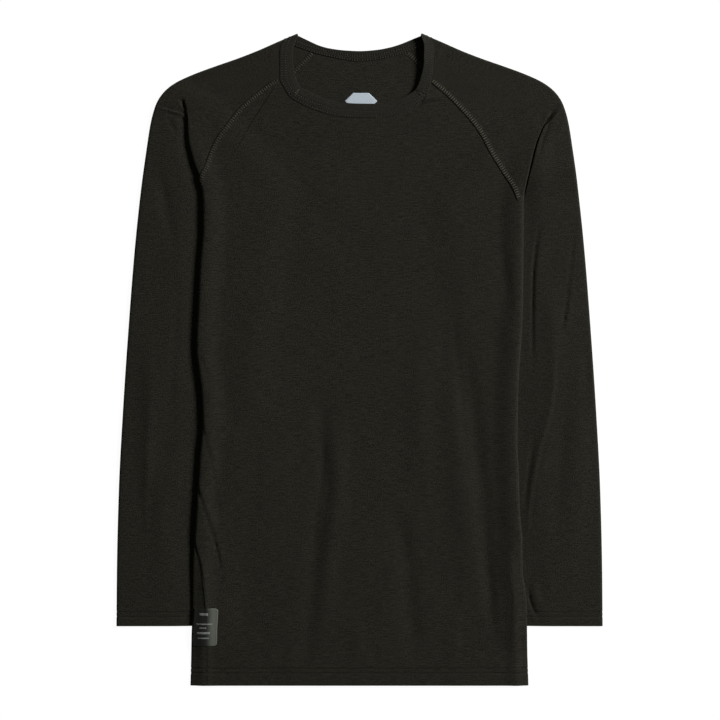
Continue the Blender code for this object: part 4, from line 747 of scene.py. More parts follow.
def nearest_on(line, x, y):
    """How far plan points lie from a line, beside which place of it, and whether to its left."""
    distance = np.full(len(x), 1e9)
    place = np.zeros(len(x))
    left = np.zeros(len(x), bool)
    for index in range(len(line) - 1):
        start, step = line[index], line[index + 1] - line[index]
        part = ((x - start[0]) * step[0] + (y - start[1]) * step[1]) / float(step @ step)
        part = np.clip(part, 0.0, 1.0)
        off_x = x - start[0] - part * step[0]
        off_y = y - start[1] - part * step[1]
        far = np.hypot(off_x, off_y)
        closer = far < distance
        distance[closer] = far[closer]
        place[closer] = index + part[closer]
        left[closer] = (step[0] * off_y - step[1] * off_x)[closer] > 0.0
    return Nearest(distance, place, left)


def crease_height(creases, x, y):
    """Height that a set of small creases adds at plan points."""
    total = np.zeros_like(x)
    for crease in creases.values():
        ways = length_along(np.stack([crease["x"], crease["y"]], axis=1))
        stops = np.linspace(0.0, ways[-1], max(6, int(ways[-1] / CREASE_STEP)))
        line = plan_curve(ways, crease["x"], crease["y"])(stops)
        reach = 3.0 * crease["wide"].max() + 3.0 * LAP_TAIL
        low, high = line.min(axis=0) - reach, line.max(axis=0) + reach
        near = (x > low[0]) & (x < high[0]) & (y > low[1]) & (y < high[1])
        found = nearest_on(line, x[near], y[near])
        numbers = np.arange(len(stops))
        height = np.interp(found.place, numbers, smooth_through(ways, crease["height"])(stops))
        wide = np.interp(found.place, numbers, np.interp(stops, ways, crease["wide"]))
        lap = np.interp(found.place, numbers, smooth_through(ways, crease["lap"])(stops))
        trough = height * np.exp(-(found.distance / wide) ** 2)
        tail = np.exp(-(found.distance / LAP_TAIL) ** 2)
        lapped = lap * smooth_step(found.distance / LAP_RUN) * tail * found.left
        total[near] += trough + lapped
    return total


def uneven_height(x, y, amount):
    """Slight unevenness of cloth that lies loose: a sum of soft waves in many directions."""
    random = np.random.default_rng(UNEVEN_SEED)
    total = np.zeros_like(x)
    shortest, longest = UNEVEN_LENGTHS
    for _ in range(UNEVEN_WAVES):
        length = random.uniform(shortest, longest)
        heading = random.uniform(0.0, math.pi)
        phase = random.uniform(0.0, 2.0 * math.pi)
        along = x * math.cos(heading) + y * math.sin(heading)
        total += length / longest * np.sin(2.0 * math.pi * along / length + phase)
    return amount * total / math.sqrt(UNEVEN_WAVES)


# --------------------------------------------------------------------------------------- sleeve


def arc(centre_x, centre_z, radius_x, radius_z, start, end, cells):
    """Points of an elliptical arc in a row's own plane; angles from +x towards +z, in degrees."""
    angle = np.radians(np.linspace(start, end, cells + 1))
    return np.stack([centre_x + radius_x * np.cos(angle),
                     centre_z + radius_z * np.sin(angle)], axis=1)


def run(start_x, end_x, heights, cells):
    """Points of a level stretch whose height is a function of x."""
    x = np.linspace(start_x, end_x, cells + 1)
    return np.stack([x, heights(x) * np.ones_like(x)], axis=1)


def join(parts):
    """Chain stretches whose ends meet."""
    return np.concatenate([parts[0]] + [part[1:] for part in parts[1:]])


def fold_section(side, y, start_x, turn, cells):
    """Section of the shoulder fold at one row: over, back under the top, and out again."""
    top_z = float(top_height(side, start_x, y))
    if turn == 0.0:
        counts = (cells["fold"], cells["layer"], cells["turn"], cells["turn"])
        at = start_x
        parts = []
        for count, share in zip(counts, FOLD_SHARES):
            width = share * FOLD_OPEN_WIDTH
            parts.append(run(at, at + width, lambda x: top_height(side, x, y), count))
            at += width
        return parts
    angle = math.radians(turn)
    if turn == CLOSED:
        over_z = (top_z - UNDER_LIFT) / 2.0
        over_x = fold_edge_radius(side, y)
        under_r = TURN_RADIUS
        straight = start_x - (float(side.tuck(y)) + under_r)
    else:
        over_x = over_z = max(FOLD_RADIUS, OVER_LENGTH / angle)
        under_r = max(TURN_RADIUS, UNDER_LENGTH / angle)
        straight = LAYER_LENGTH
    heading = np.linspace(0.0, angle, cells["fold"] + 1)
    over = np.stack([start_x + over_x * np.sin(heading),
                     top_z - over_z * (1.0 - np.cos(heading))], axis=1)
    way = np.linspace(0.0, straight, cells["layer"] + 1)[:, None]
    layer = over[-1] + way * np.array([[math.cos(angle), -math.sin(angle)]])
    heading = np.linspace(angle, 0.0, 2 * cells["turn"] + 1)
    back_x = under_r * (math.sin(angle) - np.sin(heading))
    back_z = -under_r * (np.cos(heading) - math.cos(angle))
    turned = layer[-1] + np.stack([back_x, back_z], axis=1)
    middle = cells["turn"]
    return [over, layer, turned[:middle + 1], turned[middle:]]


def fold_edge_radius(side, y):
    """Plan radius of the fold's edge: tight at the apex, that of the body's edge lower down."""
    down = (side.apex_y - y) / (side.apex_y - UNDERARM_Y)
    start, end = FOLD_WIDEN[side.name]
    widened = float(smooth_step((down - start) / (end - start)))
    return FOLD_RADIUS + (EDGE_RADIUS - FOLD_RADIUS) * widened


def outer_rim(way, height, cells):
    """Points over the rolled outer edge in space, from its top to the surface."""
    point, outward = outline_point(way)
    angle = np.radians(np.linspace(90.0, -90.0, cells + 1))
    out = SLEEVE_EDGE_RADIUS * (np.cos(angle) - 1.0)
    rim = np.empty((cells + 1, 3))
    rim[:, :2] = point + out[:, None] * outward
    rim[:, 2] = FLOOR_GAP + (height - FLOOR_GAP) / 2.0 * (1.0 + np.sin(angle))
    return rim


def lay(section, y):
    """Put a row's (x, z) section into space."""
    return np.stack([section[:, 0], np.full(len(section), float(y)), section[:, 1]], axis=1)


def between(start, end, heights, cells, crowding=1.0):
    """Straight stretch in plan whose height is a function of x and y; its points may crowd towards
    its start."""
    part = np.linspace(0.0, 1.0, cells + 1)[:, None] ** crowding
    plan = np.asarray(start)[None, :2] * (1.0 - part) + np.asarray(end)[None, :2] * part
    return np.column_stack([plan, heights(plan[:, 0], plan[:, 1]) * np.ones(cells + 1)])


def on_surface(x, y):
    """Height of what lies on the surface."""
    return FLOOR_GAP + 0.0 * x


def shoulder_rows(side, cells, fan_rows):
    """Rows from the neck seam to the fold's apex, each from raglan seam to raglan seam."""
    seam_line = neck_seam_line(side)
    start_way = float(outline_way(seam_line(1.0)[1] + SLEEVE_EDGE_RADIUS))
    apex_way = float(outline_way(side.apex_y))
    apex_seam = float(side.raglan(side.apex_y))
    apex_end = float(outline_x(apex_way)) - SLEEVE_EDGE_RADIUS
    apex_part = (float(side.fold(side.apex_y)) - apex_seam) / (apex_end - apex_seam)
    top_counts = (cells["top"], cells["fold"] + cells["layer"] + 2 * cells["turn"], cells["below"],
                  cells["open"])
    rows = []
    for index in range(fan_rows):
        part = index / fan_rows
        way = start_way + (apex_way - start_way) * part
        front_y = side.corner_y + (side.apex_y - side.corner_y) * part
        back_y = side.back_y + (side.apex_y - side.back_y) * part
        front = np.array([beside(side.raglan, front_y, SEAM_GAP / 2.0), front_y])
        back = np.array([beside(side.back_raglan, back_y, SEAM_GAP / 2.0), back_y])
        point, outward = outline_point(way)
        shoulder = point - outward * SLEEVE_EDGE_RADIUS
        if index == 0:
            front, shoulder = seam_line(0.0), seam_line(1.0)
            back = back - np.array([0.0, SEAM_GAP])
        length = np.linalg.norm(shoulder - front)
        middle = NECK_FOLD_PART + (apex_part - NECK_FOLD_PART) * part
        half = FOLD_OPEN_WIDTH / 2.0 / length
        stops = (0.0, middle - half, middle + half, middle + half + CLEAR_OF_EDGE / length, 1.0)
        fractions = join([np.linspace(a, b, count + 1)
                          for a, b, count in zip(stops, stops[1:], top_counts)])
        curve = np.array([seam_line(fraction) for fraction in fractions])
        straight = curve[0] + fractions[:, None] * (curve[-1] - curve[0])
        plan = (front + fractions[:, None] * (shoulder - front)
                + (curve - straight) * (1.0 - part) ** 2)
        top = np.column_stack([plan, top_height(side, plan[:, 0], plan[:, 1])])
        rim = outer_rim(way, top[-1, 2], cells["rim"])
        rim[:, :2] += plan[-1] - rim[0, :2]
        rows.append(join([top, rim] + back_layer(rim[-1], back, cells)))
    return rows


def back_layer(start, seam, cells):
    """Stretch of the sleeve's row on the surface, from its outer edge to the back raglan seam."""
    start, seam = np.asarray(start)[:2], np.asarray(seam)
    toward = (start - seam) / np.linalg.norm(start - seam)
    near = seam + toward * EDGE_CELL * cells["turn"]
    return [between(start, near, on_surface, cells["back"]),
            between(near, seam, on_surface, cells["turn"])]


def armhole_row(side, cells, y, turn):
    """One row between the fold's apex and the underarm point."""
    down = side.apex_y - y
    fold_x = float(side.fold(y))
    if turn == 0.0:
        start_x = fold_x - FOLD_OPEN_WIDTH / 2.0
    elif turn < CLOSED:
        radius = max(FOLD_RADIUS, OVER_LENGTH / math.radians(turn))
        start_x = fold_x - radius * min(1.0, FOLD_LEAN * turn / CLOSED)
    else:
        start_x = fold_x - fold_edge_radius(side, y)
    seam_x = min(beside(side.raglan, y, SEAM_GAP / 2.0), start_x)
    if y <= UNDERARM_Y + SEAM_GAP:
        seam_x = start_x
    top = run(seam_x, start_x, lambda x: top_height(side, x, y), cells["top"])
    fold = fold_section(side, y, start_x, turn, cells)
    inner_end = fold[-1][-1]
    way = float(outline_way(y))
    point, outward = outline_point(way)
    shoulder = point - outward * SLEEVE_EDGE_RADIUS
    below_end = max(inner_end[0] + CLEAR_OF_EDGE, fold_x + EDGE_CLEAR)
    near = float(smooth_step(down / SETTLE_LENGTH))
    start, length = SETTLE_FAR[side.name]
    far = float(smooth_step((down - start) / length))

    def open_height(x, row_y):
        low = sleeve_height(side, x, row_y, below_end, shoulder[0])
        settled = near + (far - near) * smooth_step((x - below_end) / SETTLE_LIP)
        return top_height(side, x, row_y) * (1.0 - settled) + low * settled

    open_start = float(open_height(np.array([below_end]), y)[0])
    below = run(inner_end[0], below_end,
                lambda x: inner_end[1] + (open_start - inner_end[1])
                * smooth_step((x - inner_end[0]) / (below_end - inner_end[0])), cells["below"])
    crowding = 1.0 + (OPEN_CROWDING - 1.0) * near
    opened = between((below_end, y), shoulder, open_height, cells["open"], crowding)
    rim = outer_rim(way, opened[-1, 2], cells["rim"])
    section = join([top] + fold + [below])
    back = back_layer(rim[-1], (beside(side.back_raglan, y, SEAM_GAP / 2.0), y), cells)
    return join([lay(section, y), opened, rim] + back)


def armhole_rows(side, cells):
    """Rows from the fold's apex to the underarm point, drawn finely through the fold's start."""
    keys = [side.apex_y - down for down in FOLD_START["down"]]
    start = smooth_through(keys, [armhole_row(side, cells, y, turn)
                                  for y, turn in zip(keys, FOLD_START["turn"])])
    rows = [start(y) for y in spaced(keys[0], keys[-1], FOLD_ROW_STEP)]
    last = UNDERARM_Y + SEAM_GAP / 2.0
    stations = spaced(keys[-1], last, ARMHOLE_STEP) + [last]
    return rows + [armhole_row(side, cells, y, CLOSED) for y in stations]


def arm_rows(side, cells, stations, first_row):
    """Rows of the sleeve's tube from the underarm point to the cuff, slit along its inner edge."""
    rows = [first_row]
    raise_height = TURNED_RAISE * CUFF_STEP_PART
    for y in stations:
        inner_x = float(side.inner(y)) + SLEEVE_FLAT / 2.0
        raised = raise_height * float(turned_raise(y, CUFF_Y, CUFF_DEPTH))
        way = float(outline_way(y))
        point, outward = outline_point(way)
        shoulder = point - outward * SLEEVE_EDGE_RADIUS
        below_end = float(side.edge(y)) + EDGE_CLEAR
        curl = inner_curl(y, cells["turn"])
        upper = np.array([inner_x, SLEEVE_FLAT]) - curl[::-1]
        below = run(inner_x, below_end, lambda x: SLEEVE_FLAT + 0.0 * x, cells["below"])
        opened = between(
            (below_end, y), shoulder,
            lambda x, row_y: sleeve_height(side, x, row_y, below_end, shoulder[0])
            + raised * smooth_step((x - below_end) / TURNED_RUN), cells["open"], OPEN_CROWDING)
        rim = outer_rim(way, opened[-1, 2], cells["rim"])
        back = between(rim[-1], (inner_x, y), on_surface, cells["back"])
        lower = np.array([inner_x, FLOOR_GAP]) + curl * np.array([-1.0, 1.0])
        rows.append(join([lay(upper, y), lay(below, y), opened, rim, back, lay(lower, y)]))
    return rows


def inner_curl(y, cells):
    """How far in and across the sleeve's inner edge turns, one half of it; flat at the underarm."""
    radius = (SLEEVE_FLAT - FLOOR_GAP) / 2.0
    curled = float(smooth_step((UNDERARM_Y - y) / CURL_LENGTH))
    angle = np.linspace(0.0, CURL_ANGLE * curled, cells + 1)
    return radius / curled * np.stack([np.sin(angle), 1.0 - np.cos(angle)], axis=1)


# ----------------------------------------------------------------------------------------- body


def body_side(side, y):
    """Section of the body's side at y: from the split line over the edge to where it lies flat.

    Returns its points and the numbers of those where it starts to round and where it is widest.
    """
    edge = float(side.edge(y))
    start_x = edge - EDGE_RADIUS
    top = run(edge - SPLIT_IN, start_x, lambda x: top_height(side, x, y), FINE["top"])
    low = float(back_height(side, start_x, y))
    middle = (top[-1, 1] + low) / 2.0
    half_height = (top[-1, 1] - low) / 2.0
    rounded = arc(start_x, middle, EDGE_RADIUS, half_height, 90.0, -90.0, FINE["rounded"])
    flat_x = float(side.inner(y)) - RAMP_START
    below = run(start_x, flat_x, lambda x: back_height(side, x, y), FINE["below"])
    return join([top, rounded, below]), FINE["top"], FINE["top"] + FINE["rounded"] // 2


def points_at(line, way, at):
    """Points of a line at some distances, from the distances of its own points."""
    return np.stack([np.interp(at, way, column) for column in line.T], axis=1)


def resample(section, start, end, cells):
    """Points between two distances along a section, closer together where it turns."""
    way = length_along(section)
    steps = np.diff(section, axis=0)
    heading = np.unwrap(np.arctan2(steps[:, 1], steps[:, 0]))
    bend = np.concatenate(([0.0], np.cumsum(np.abs(np.diff(heading))), [0.0]))
    bend[-1] = bend[-2]
    measure = way + TURN_WEIGHT * bend
    stops = np.linspace(np.interp(start, way, measure), np.interp(end, way, measure), cells + 1)
    return points_at(section, way, np.interp(stops, measure, way))


def make_seam_round(side):
    """Function of y: the way round from the body's outermost line to the side seam."""
    section, _, edge_index = body_side(side, UNDERARM_Y)
    way = length_along(section[edge_index:])
    seam_x = float(side.back_raglan(UNDERARM_Y))
    at_underarm = np.interp(-seam_x, -section[edge_index:, 0], way)
    return smooth_through(np.concatenate(([UNDERARM_Y], SIDE_SEAM["y"])),
                          np.concatenate(([at_underarm], SIDE_SEAM["round"])))


seam_round = {side.name: make_seam_round(side) for side in (RIGHT, LEFT)}


def side_parts(side, y):
    """The front's outer and rounded stretches and the back's stretch of one side section."""
    section, top_index, edge_index = body_side(side, y)
    way = length_along(section)
    seam = way[edge_index] + float(seam_round[side.name](y))
    turn_at = min(way[top_index] - SEAM_GAP, seam - LEAST_ROUND)
    outer = resample(section, 0.0, turn_at, OUTER_CELLS)
    rounded = resample(section, turn_at, seam - SEAM_GAP / 2.0, ROUND_CELLS)
    back = resample(section, seam + SEAM_GAP / 2.0, way[-1], BACK_SIDE_CELLS)
    return outer, rounded, back


def mirrored(points, side):
    """Outward measures of a side to the object's own x."""
    points = np.array(points)
    points[:, 0] *= side.sign
    return points


def with_hem(points, y):
    """Stand a row up at the turned hem, all but what rests on the surface."""
    share = np.clip((points[:, 2:] - FLOOR_GAP) / HEM_FULL_RAISE, 0.0, 1.0)
    raised = TURNED_RAISE * turned_raise(y, HEM_Y, HEM_DEPTH) * share
    return points + raised * np.array([0.0, 0.0, 1.0])


def front_rows(stations):
    """Rows of the front panel from the underarm point to the hem."""
    rows = []
    for y in stations:
        right_outer, right_round, _ = side_parts(RIGHT, y)
        left_outer, left_round, _ = side_parts(LEFT, y)
        start_x, end_x = -right_outer[0, 0], left_outer[0, 0]
        x = np.linspace(start_x, end_x, CENTRE_CELLS + 1)
        z = np.where(x < 0.0, top_height(RIGHT, -x, y), top_height(LEFT, x, y))
        centre = np.stack([x, np.full_like(x, y), z], axis=1)
        right_path = mirrored(lay(join([right_outer, right_round]), y), RIGHT)[::-1]
        left_path = mirrored(lay(join([left_outer, left_round]), y), LEFT)
        rows.append(with_hem(join([right_path, centre, left_path]), y))
    return rows


def back_rows(stations):
    """Rows of the back panel from the underarm point to the hem."""
    rows = []
    for y in stations:
        right_back = side_parts(RIGHT, y)[2]
        left_back = side_parts(LEFT, y)[2]
        start_x, end_x = -right_back[-1, 0], left_back[-1, 0]
        x = np.linspace(start_x, end_x, BACK_CENTRE_CELLS + 1)
        centre = np.stack([x, np.full_like(x, y), np.full_like(x, FLOOR_GAP)], axis=1)
        right_path = mirrored(lay(right_back, y), RIGHT)
        left_path = mirrored(lay(left_back, y), LEFT)[::-1]
        rows.append(with_hem(join([right_path, centre, left_path]), y))
    return rows


def both_heights(x, y):
    """Height of the front at any place, x in the object's own direction."""
    return np.where(x < 0.0, top_height(RIGHT, np.abs(x), y), top_height(LEFT, np.abs(x), y))


def both_backs(x, y):
    """Height of the back panel's outer face at any place."""
    return np.where(x < 0.0, back_height(RIGHT, np.abs(x), y), back_height(LEFT, np.abs(x), y))


def across_row(row):
    """How far across a row each of its points lies, from 0 to 1."""
    return (row[:, 0] - row[0, 0]) / (row[-1, 0] - row[0, 0])


def yoke_rows(first_line, last_row, right_ends, left_ends, heights):
    """Rows above the underarm point, between a neckline and the first full row of a panel.

    The rows are a patch blended from the neckline, the last row and the two raglan seams.
    """
    across = across_row(last_row)
    top_line = first_line(across)
    bottom_line = last_row[:, :2]
    rows = []
    for index, (right_end, left_end) in enumerate(zip(right_ends, left_ends)):
        if index == 0:
            right_end, left_end = top_line[0], top_line[-1]
        right_end, left_end = np.array(right_end), np.array(left_end)
        fall = 0.5 * (right_ends[0][1] - right_end[1]) / (right_ends[0][1] - UNDERARM_Y)
        fall += 0.5 * (left_ends[0][1] - left_end[1]) / (left_ends[0][1] - UNDERARM_Y)
        fall *= index > 0
        plain = (1.0 - fall) * top_line + fall * bottom_line
        plan = (plain + (right_end - plain[0]) * (1.0 - across)[:, None]
                + (left_end - plain[-1]) * across[:, None])
        rows.append(np.column_stack([plan, heights(plan[:, 0], plan[:, 1])]))
    return rows


# ---------------------------------------------------------------------------------------- neck


def plan_curve(ways, xs, ys):
    """Smooth curve in plan through points at the given distances."""
    x_at = smooth_through(ways, xs)
    y_at = smooth_through(ways, ys)
    return lambda way: np.stack([x_at(way), y_at(way)], axis=-1)


def shoulder_peak(seam_y, sign):
    """Where the band's sewn edge crosses the shoulder line, and outwards from there."""
    point, outward = outline_point(float(outline_way(seam_y)))
    turn = np.array([sign, 1.0])
    return point * turn, outward * turn


def band_curves(band, peak_rows_and_signs):
    """Sewn and free edge of one half of the band, each drawn back from the peaks by the radius
    at which the band goes over them."""
    seam = np.stack([band["seam_x"], band["seam_y"]], axis=1)
    free = np.stack([band["free_x"], band["free_y"]], axis=1)
    for row, sign in peak_rows_and_signs:
        point, outward = shoulder_peak(band["seam_y"][row], sign)
        seam[row] = point - outward * SLEEVE_EDGE_RADIUS
        free[row] = free[row] - outward * SLEEVE_EDGE_RADIUS
    ways = length_along(seam)
    return ways, plan_curve(ways, seam[:, 0], seam[:, 1]), plan_curve(ways, free[:, 0], free[:, 1])


front_ways, front_seam, front_free = band_curves(FRONT_BAND, ((0, -1), (-1, 1)))
back_ways, back_seam, back_free = band_curves(BACK_BAND, ((0, 1), (-1, -1)))
CORNER_WAYS = (front_ways[CORNER_ROWS[0]], front_ways[CORNER_ROWS[1]])


def beside_band(way):
    """Point one seam gap outside the band's sewn edge."""
    reach = 0.5
    run_on = unit(front_seam(way + reach) - front_seam(way - reach))
    outward = np.stack([run_on[..., 1], -run_on[..., 0]], axis=-1)
    return front_seam(way) + SEAM_GAP * outward


def neck_seam_line(side):
    """Sleeve's edge along the band, from the front corner (0) to the shoulder peak (1)."""
    if side.sign < 0:
        start, end = CORNER_WAYS[0] - CORNER_CLEAR, front_ways[0]
    else:
        start, end = CORNER_WAYS[1] + CORNER_CLEAR, front_ways[-1]
    turn = np.array([side.sign, 1.0])
    peak = front_seam(end) * turn
    _, outward = outline_point(float(outline_way(peak[1])))
    last = peak + PEAK_CLEAR * np.array([outward[1], -outward[0]])
    before_peak = 0.98
    almost = before_peak * (end - start)
    reached = beside_band(start + almost) + front_seam(end) - front_seam(start + almost)
    shift = last - reached * turn

    def at(part):
        way = start + almost * part
        run_out = front_seam(start + (end - start) * part) - front_seam(way)
        return (beside_band(way) + run_out) * turn + shift * part

    return at


def front_neckline(across):
    """Neckline of the front panel, from 0 at the right raglan seam to 1 at the left one."""
    start, end = CORNER_WAYS[0] + CORNER_CLEAR, CORNER_WAYS[1] - CORNER_CLEAR
    return beside_band(start + (end - start) * across)


def back_neckline(across):
    """Neckline of the back panel, one seam gap below the band."""
    start, end = back_ways[BACK_CORNER_ROWS[0]], back_ways[BACK_CORNER_ROWS[1]]
    inset = SEAM_GAP / 2.0 * np.array([1.0, 0.0])
    line = back_seam(start + (end - start) * across) - np.array([0.0, SEAM_GAP])
    return line + inset * (1.0 - 2.0 * np.asarray(across))[..., None]


def grooves(distance, lines):
    """Depth of the grooves that rows of stitches draw at these distances."""
    return GROOVE_DEPTH * sum(np.exp(-((distance - line) / GROOVE_HALF) ** 2) for line in lines)


def band_station(seam, free, height, crown, lift=0.0):
    """Points across the band: its middle a little proud, grooved, and its free edge lifted."""
    part = np.linspace(0.0, 1.0, BAND_CELLS + 1)
    plan = seam + part[:, None] * (free - seam)
    rise = crown * np.sin(math.pi * part) ** BAND_CROWN_POWER + lift * part ** BAND_LIFT_POWER
    rise -= grooves(part * np.linalg.norm(free - seam), BAND_LINES) * (crown > 0.0)
    return np.column_stack([plan, height + rise])


def front_band_rows():
    """Rows across the band from peak to peak, with a row at each mitre."""
    stops = (front_ways[0], front_ways[MITRE_ROWS[0]], front_ways[MITRE_ROWS[1]], front_ways[-1])
    counts = (2 * BAND_SIDE_CELLS, 4 * BAND_SIDE_CELLS, 2 * BAND_SIDE_CELLS)
    ways = join([np.linspace(a, b, count + 1) for a, b, count in zip(stops, stops[1:], counts)])
    rows = []
    for way in ways:
        seam, free = front_seam(way), front_free(way)
        height = float(both_heights(seam[0:1], seam[1:2])[0]) + BAND_RISE
        crown = BAND_CROWN * min(
            1.0, (way - ways[0]) / BAND_CROWN_RUN, (ways[-1] - way) / BAND_CROWN_RUN)
        lift = BAND_LIFT * float(smooth_step((way - stops[2]) / BAND_LIFT_RUN))
        rows.append(band_station(seam, free, height, crown, lift))
    return ways, rows


def peak_rows(row, seam_y, sign, cells):
    """Rows of the band over a shoulder peak, from its last front row round to the surface."""
    _, outward = shoulder_peak(seam_y, sign)
    rows = []
    for angle in np.radians(np.linspace(90.0, -90.0, cells + 1)[1:]):
        plan = row[:, :2] + SLEEVE_EDGE_RADIUS * math.cos(angle) * outward
        height = FLOOR_GAP + (row[:, 2] - FLOOR_GAP) / 2.0 * (1.0 + math.sin(angle))
        rows.append(np.column_stack([plan, height]))
    return rows


def back_band_rows():
    """Rows across the band on the surface, between its corners with the back raglan seams."""
    left_corner, right_corner = back_ways[BACK_CORNER_ROWS[1]], back_ways[BACK_CORNER_ROWS[0]]
    ways = np.linspace(left_corner, right_corner, 2 * BAND_SIDE_CELLS + 1)
    return [band_station(back_seam(way), back_free(way), FLOOR_GAP, 0.0) for way in ways]


# -------------------------------------------------------------------------------- making meshes


def spaced(start_y, end_y, step):
    """Rows from one y down to another, about a step apart, without the last."""
    count = max(1, int(round((start_y - end_y) / step)))
    return list(np.linspace(start_y, end_y, count + 1))[:-1]


def down_to_hem(start_y, end_y, depth, step):
    """Rows from one y down to a turned hem, closer together at its step and at its edge."""
    low = end_y + depth - TURNED_STEP
    rows = spaced(start_y, low + STITCH_ZONE + TURNED_STEP, step)
    rows += spaced(low + STITCH_ZONE + TURNED_STEP, low, GROOVE_STEP)
    last = end_y + HEM_END_STEP
    return rows + spaced(low, last, step) + [last, end_y]


class Sheet:
    """Outer face of one sewn piece, gathered from blocks of rows, with its grain."""

    def __init__(self):
        self.points = []
        self.grain = []
        self.faces = []

    def add(self, rows, grains, flip):
        """Add a block of rows with equal numbers of points."""
        start = len(self.points)
        width = len(rows[0])
        for row, grain in zip(rows, grains):
            self.points.extend(np.asarray(row))
            self.grain.extend(np.asarray(grain))
        line = np.arange(len(rows) - 1)[:, None] * width + start
        first = (line + np.arange(width - 1)[None, :]).ravel()
        faces = np.stack([first, first + 1, first + width + 1, first + width], axis=1)
        self.faces.append(faces[:, ::-1] if flip else faces)

    def merged(self):
        """Points, grain and faces, with the points that blocks share made one."""
        points, first, number = np.unique(
            np.round(np.array(self.points), 6), axis=0, return_index=True, return_inverse=True)
        faces = number.ravel()[np.concatenate(self.faces)]
        return points, np.array(self.grain)[first], faces


def plan_grain(rows, middle):
    """Grain of a panel: along each row from its middle, and down the body."""
    grains = []
    for row in rows:
        way = length_along(row)
        start = np.interp(0.0, row[middle:-middle, 0], way[middle:-middle]) if middle else 0.0
        grains.append(np.stack([way - start, row[:, 1]], axis=1))
    return grains


def flat_grain(rows):
    """Grain of a flat stretch: its place in plan."""
    return [np.asarray(row)[:, :2] for row in rows]


def row_normals(points, faces):
    """Normal at each point, from the faces round it."""
    corner = points[faces]
    face_normals = np.cross(corner[:, 2] - corner[:, 0], corner[:, 3] - corner[:, 1])
    normals = np.zeros_like(points)
    for column in range(4):
        np.add.at(normals, faces[:, column], face_normals)
    return unit(normals)


def close_wall(points, grain, faces, thickness, bulge):
    """Close a sheet into a wall: an inner face, and a rounded rim along every edge."""
    count = len(points)
    normals = row_normals(points, faces)
    thickness = np.broadcast_to(thickness, (count,))
    inner = points - normals * thickness[:, None]
    starts = faces.ravel()
    ends = np.roll(faces, -1, axis=1).ravel()
    open_edges = ~np.isin(starts * count + ends, ends * count + starts)
    starts, ends = starts[open_edges], ends[open_edges]
    outward = np.zeros_like(points)
    side_way = np.cross(unit(points[ends] - points[starts]), normals[starts])
    np.add.at(outward, starts, side_way)
    np.add.at(outward, ends, side_way)
    edge_points = np.unique(starts)
    place = np.full(count, -1)
    place[edge_points] = np.arange(len(edge_points))
    outward = unit(outward[edge_points])
    rings = []
    for index in range(1, RIM_CELLS):
        angle = math.pi * index / RIM_CELLS
        depth = thickness[edge_points] * (1.0 - math.cos(angle)) / 2.0
        sunk = normals[edge_points] * depth[:, None]
        rings.append(points[edge_points] + outward * bulge * math.sin(angle) - sunk)
    all_points = np.concatenate([points, inner] + rings)
    all_grain = np.concatenate([grain, grain] + [grain[edge_points]] * len(rings))
    blocks = [faces, faces[:, ::-1] + count]
    levels = [(starts, ends)]
    for index in range(len(rings)):
        base = 2 * count + index * len(edge_points)
        levels.append((base + place[starts], base + place[ends]))
    levels.append((starts + count, ends + count))
    for (near_a, near_b), (far_a, far_b) in zip(levels, levels[1:]):
        blocks.append(np.stack([near_b, near_a, far_a, far_b], axis=1))
    return all_points, all_grain, np.concatenate(blocks)


def make_object(name, points, faces, materials, grain, numbers=None, sharp=SHARP_CLOTH):
    """Make one mesh object from points and grain in millimetres."""
    mesh = bpy.data.meshes.new(name)
    mesh.from_pydata((np.asarray(points) * MM).tolist(), [], [tuple(face) for face in faces])
    for material in materials:
        mesh.materials.append(material)
    if numbers is not None:
        mesh.polygons.foreach_set("material_index", np.asarray(numbers, np.int32))
    at_corners = np.empty(len(mesh.loops), np.int32)
    mesh.loops.foreach_get("vertex_index", at_corners)
    layer = mesh.uv_layers.new(name="grain")
    layer.data.foreach_set("uv", (grain[at_corners] * MM).astype(np.float32).ravel())
    mesh.shade_smooth()
    mesh.set_sharp_from_angle(angle=math.radians(sharp))
    piece = bpy.data.objects.new(name, mesh)
    bpy.context.scene.collection.objects.link(piece)
    return piece


def add_relief(points, faces, clear, end_y, stitch_lines):
    """Crease what looks up, hollow what looks down, and groove the cloth under a hem's stitches."""
    normals = row_normals(points, faces)
    up = smooth_step((normals[:, 2] - RELIEF_TILT) / RELIEF_RUN) * clear
    down = smooth_step((-normals[:, 2] - RELIEF_TILT) / RELIEF_RUN)
    x, y = points[:, 0].copy(), points[:, 1].copy()
    uneven = uneven_height(x, y, sizes().unevenness / MM)
    points[:, 2] += (crease_height(TOP_CREASES, x, y) + uneven) * up
    points[:, 2] += np.maximum(crease_height(UNDER_CREASES, x, y), 0.0) * down
    points -= normals * grooves(y - end_y, stitch_lines)[:, None]


outer_faces = {}
band_lines = {}


def cloth_surface(*names):
    """Search tree of the outer faces of some cloth pieces, for what is laid on them."""
    points, faces, start = [], [], 0
    for name in names:
        piece_points, piece_faces = outer_faces[name]
        points.append(piece_points)
        faces.append(piece_faces + start)
        start += len(piece_points)
    return BVHTree.FromPolygons(np.concatenate(points).tolist(), np.concatenate(faces).tolist())


def snap(tree, grid, inner=0.0):
    """Move a grid of points on to the cloth, or under it by a thickness to its inner face.

    Returns the points and the way out of the cloth at each.
    """
    points = np.empty_like(grid)
    normals = np.empty_like(grid)
    for index in np.ndindex(grid.shape[:-1]):
        points[index], normals[index] = tree.find_nearest(Vector(grid[index]))[:2]
    if inner:
        return points - normals * inner, -normals
    return points, normals


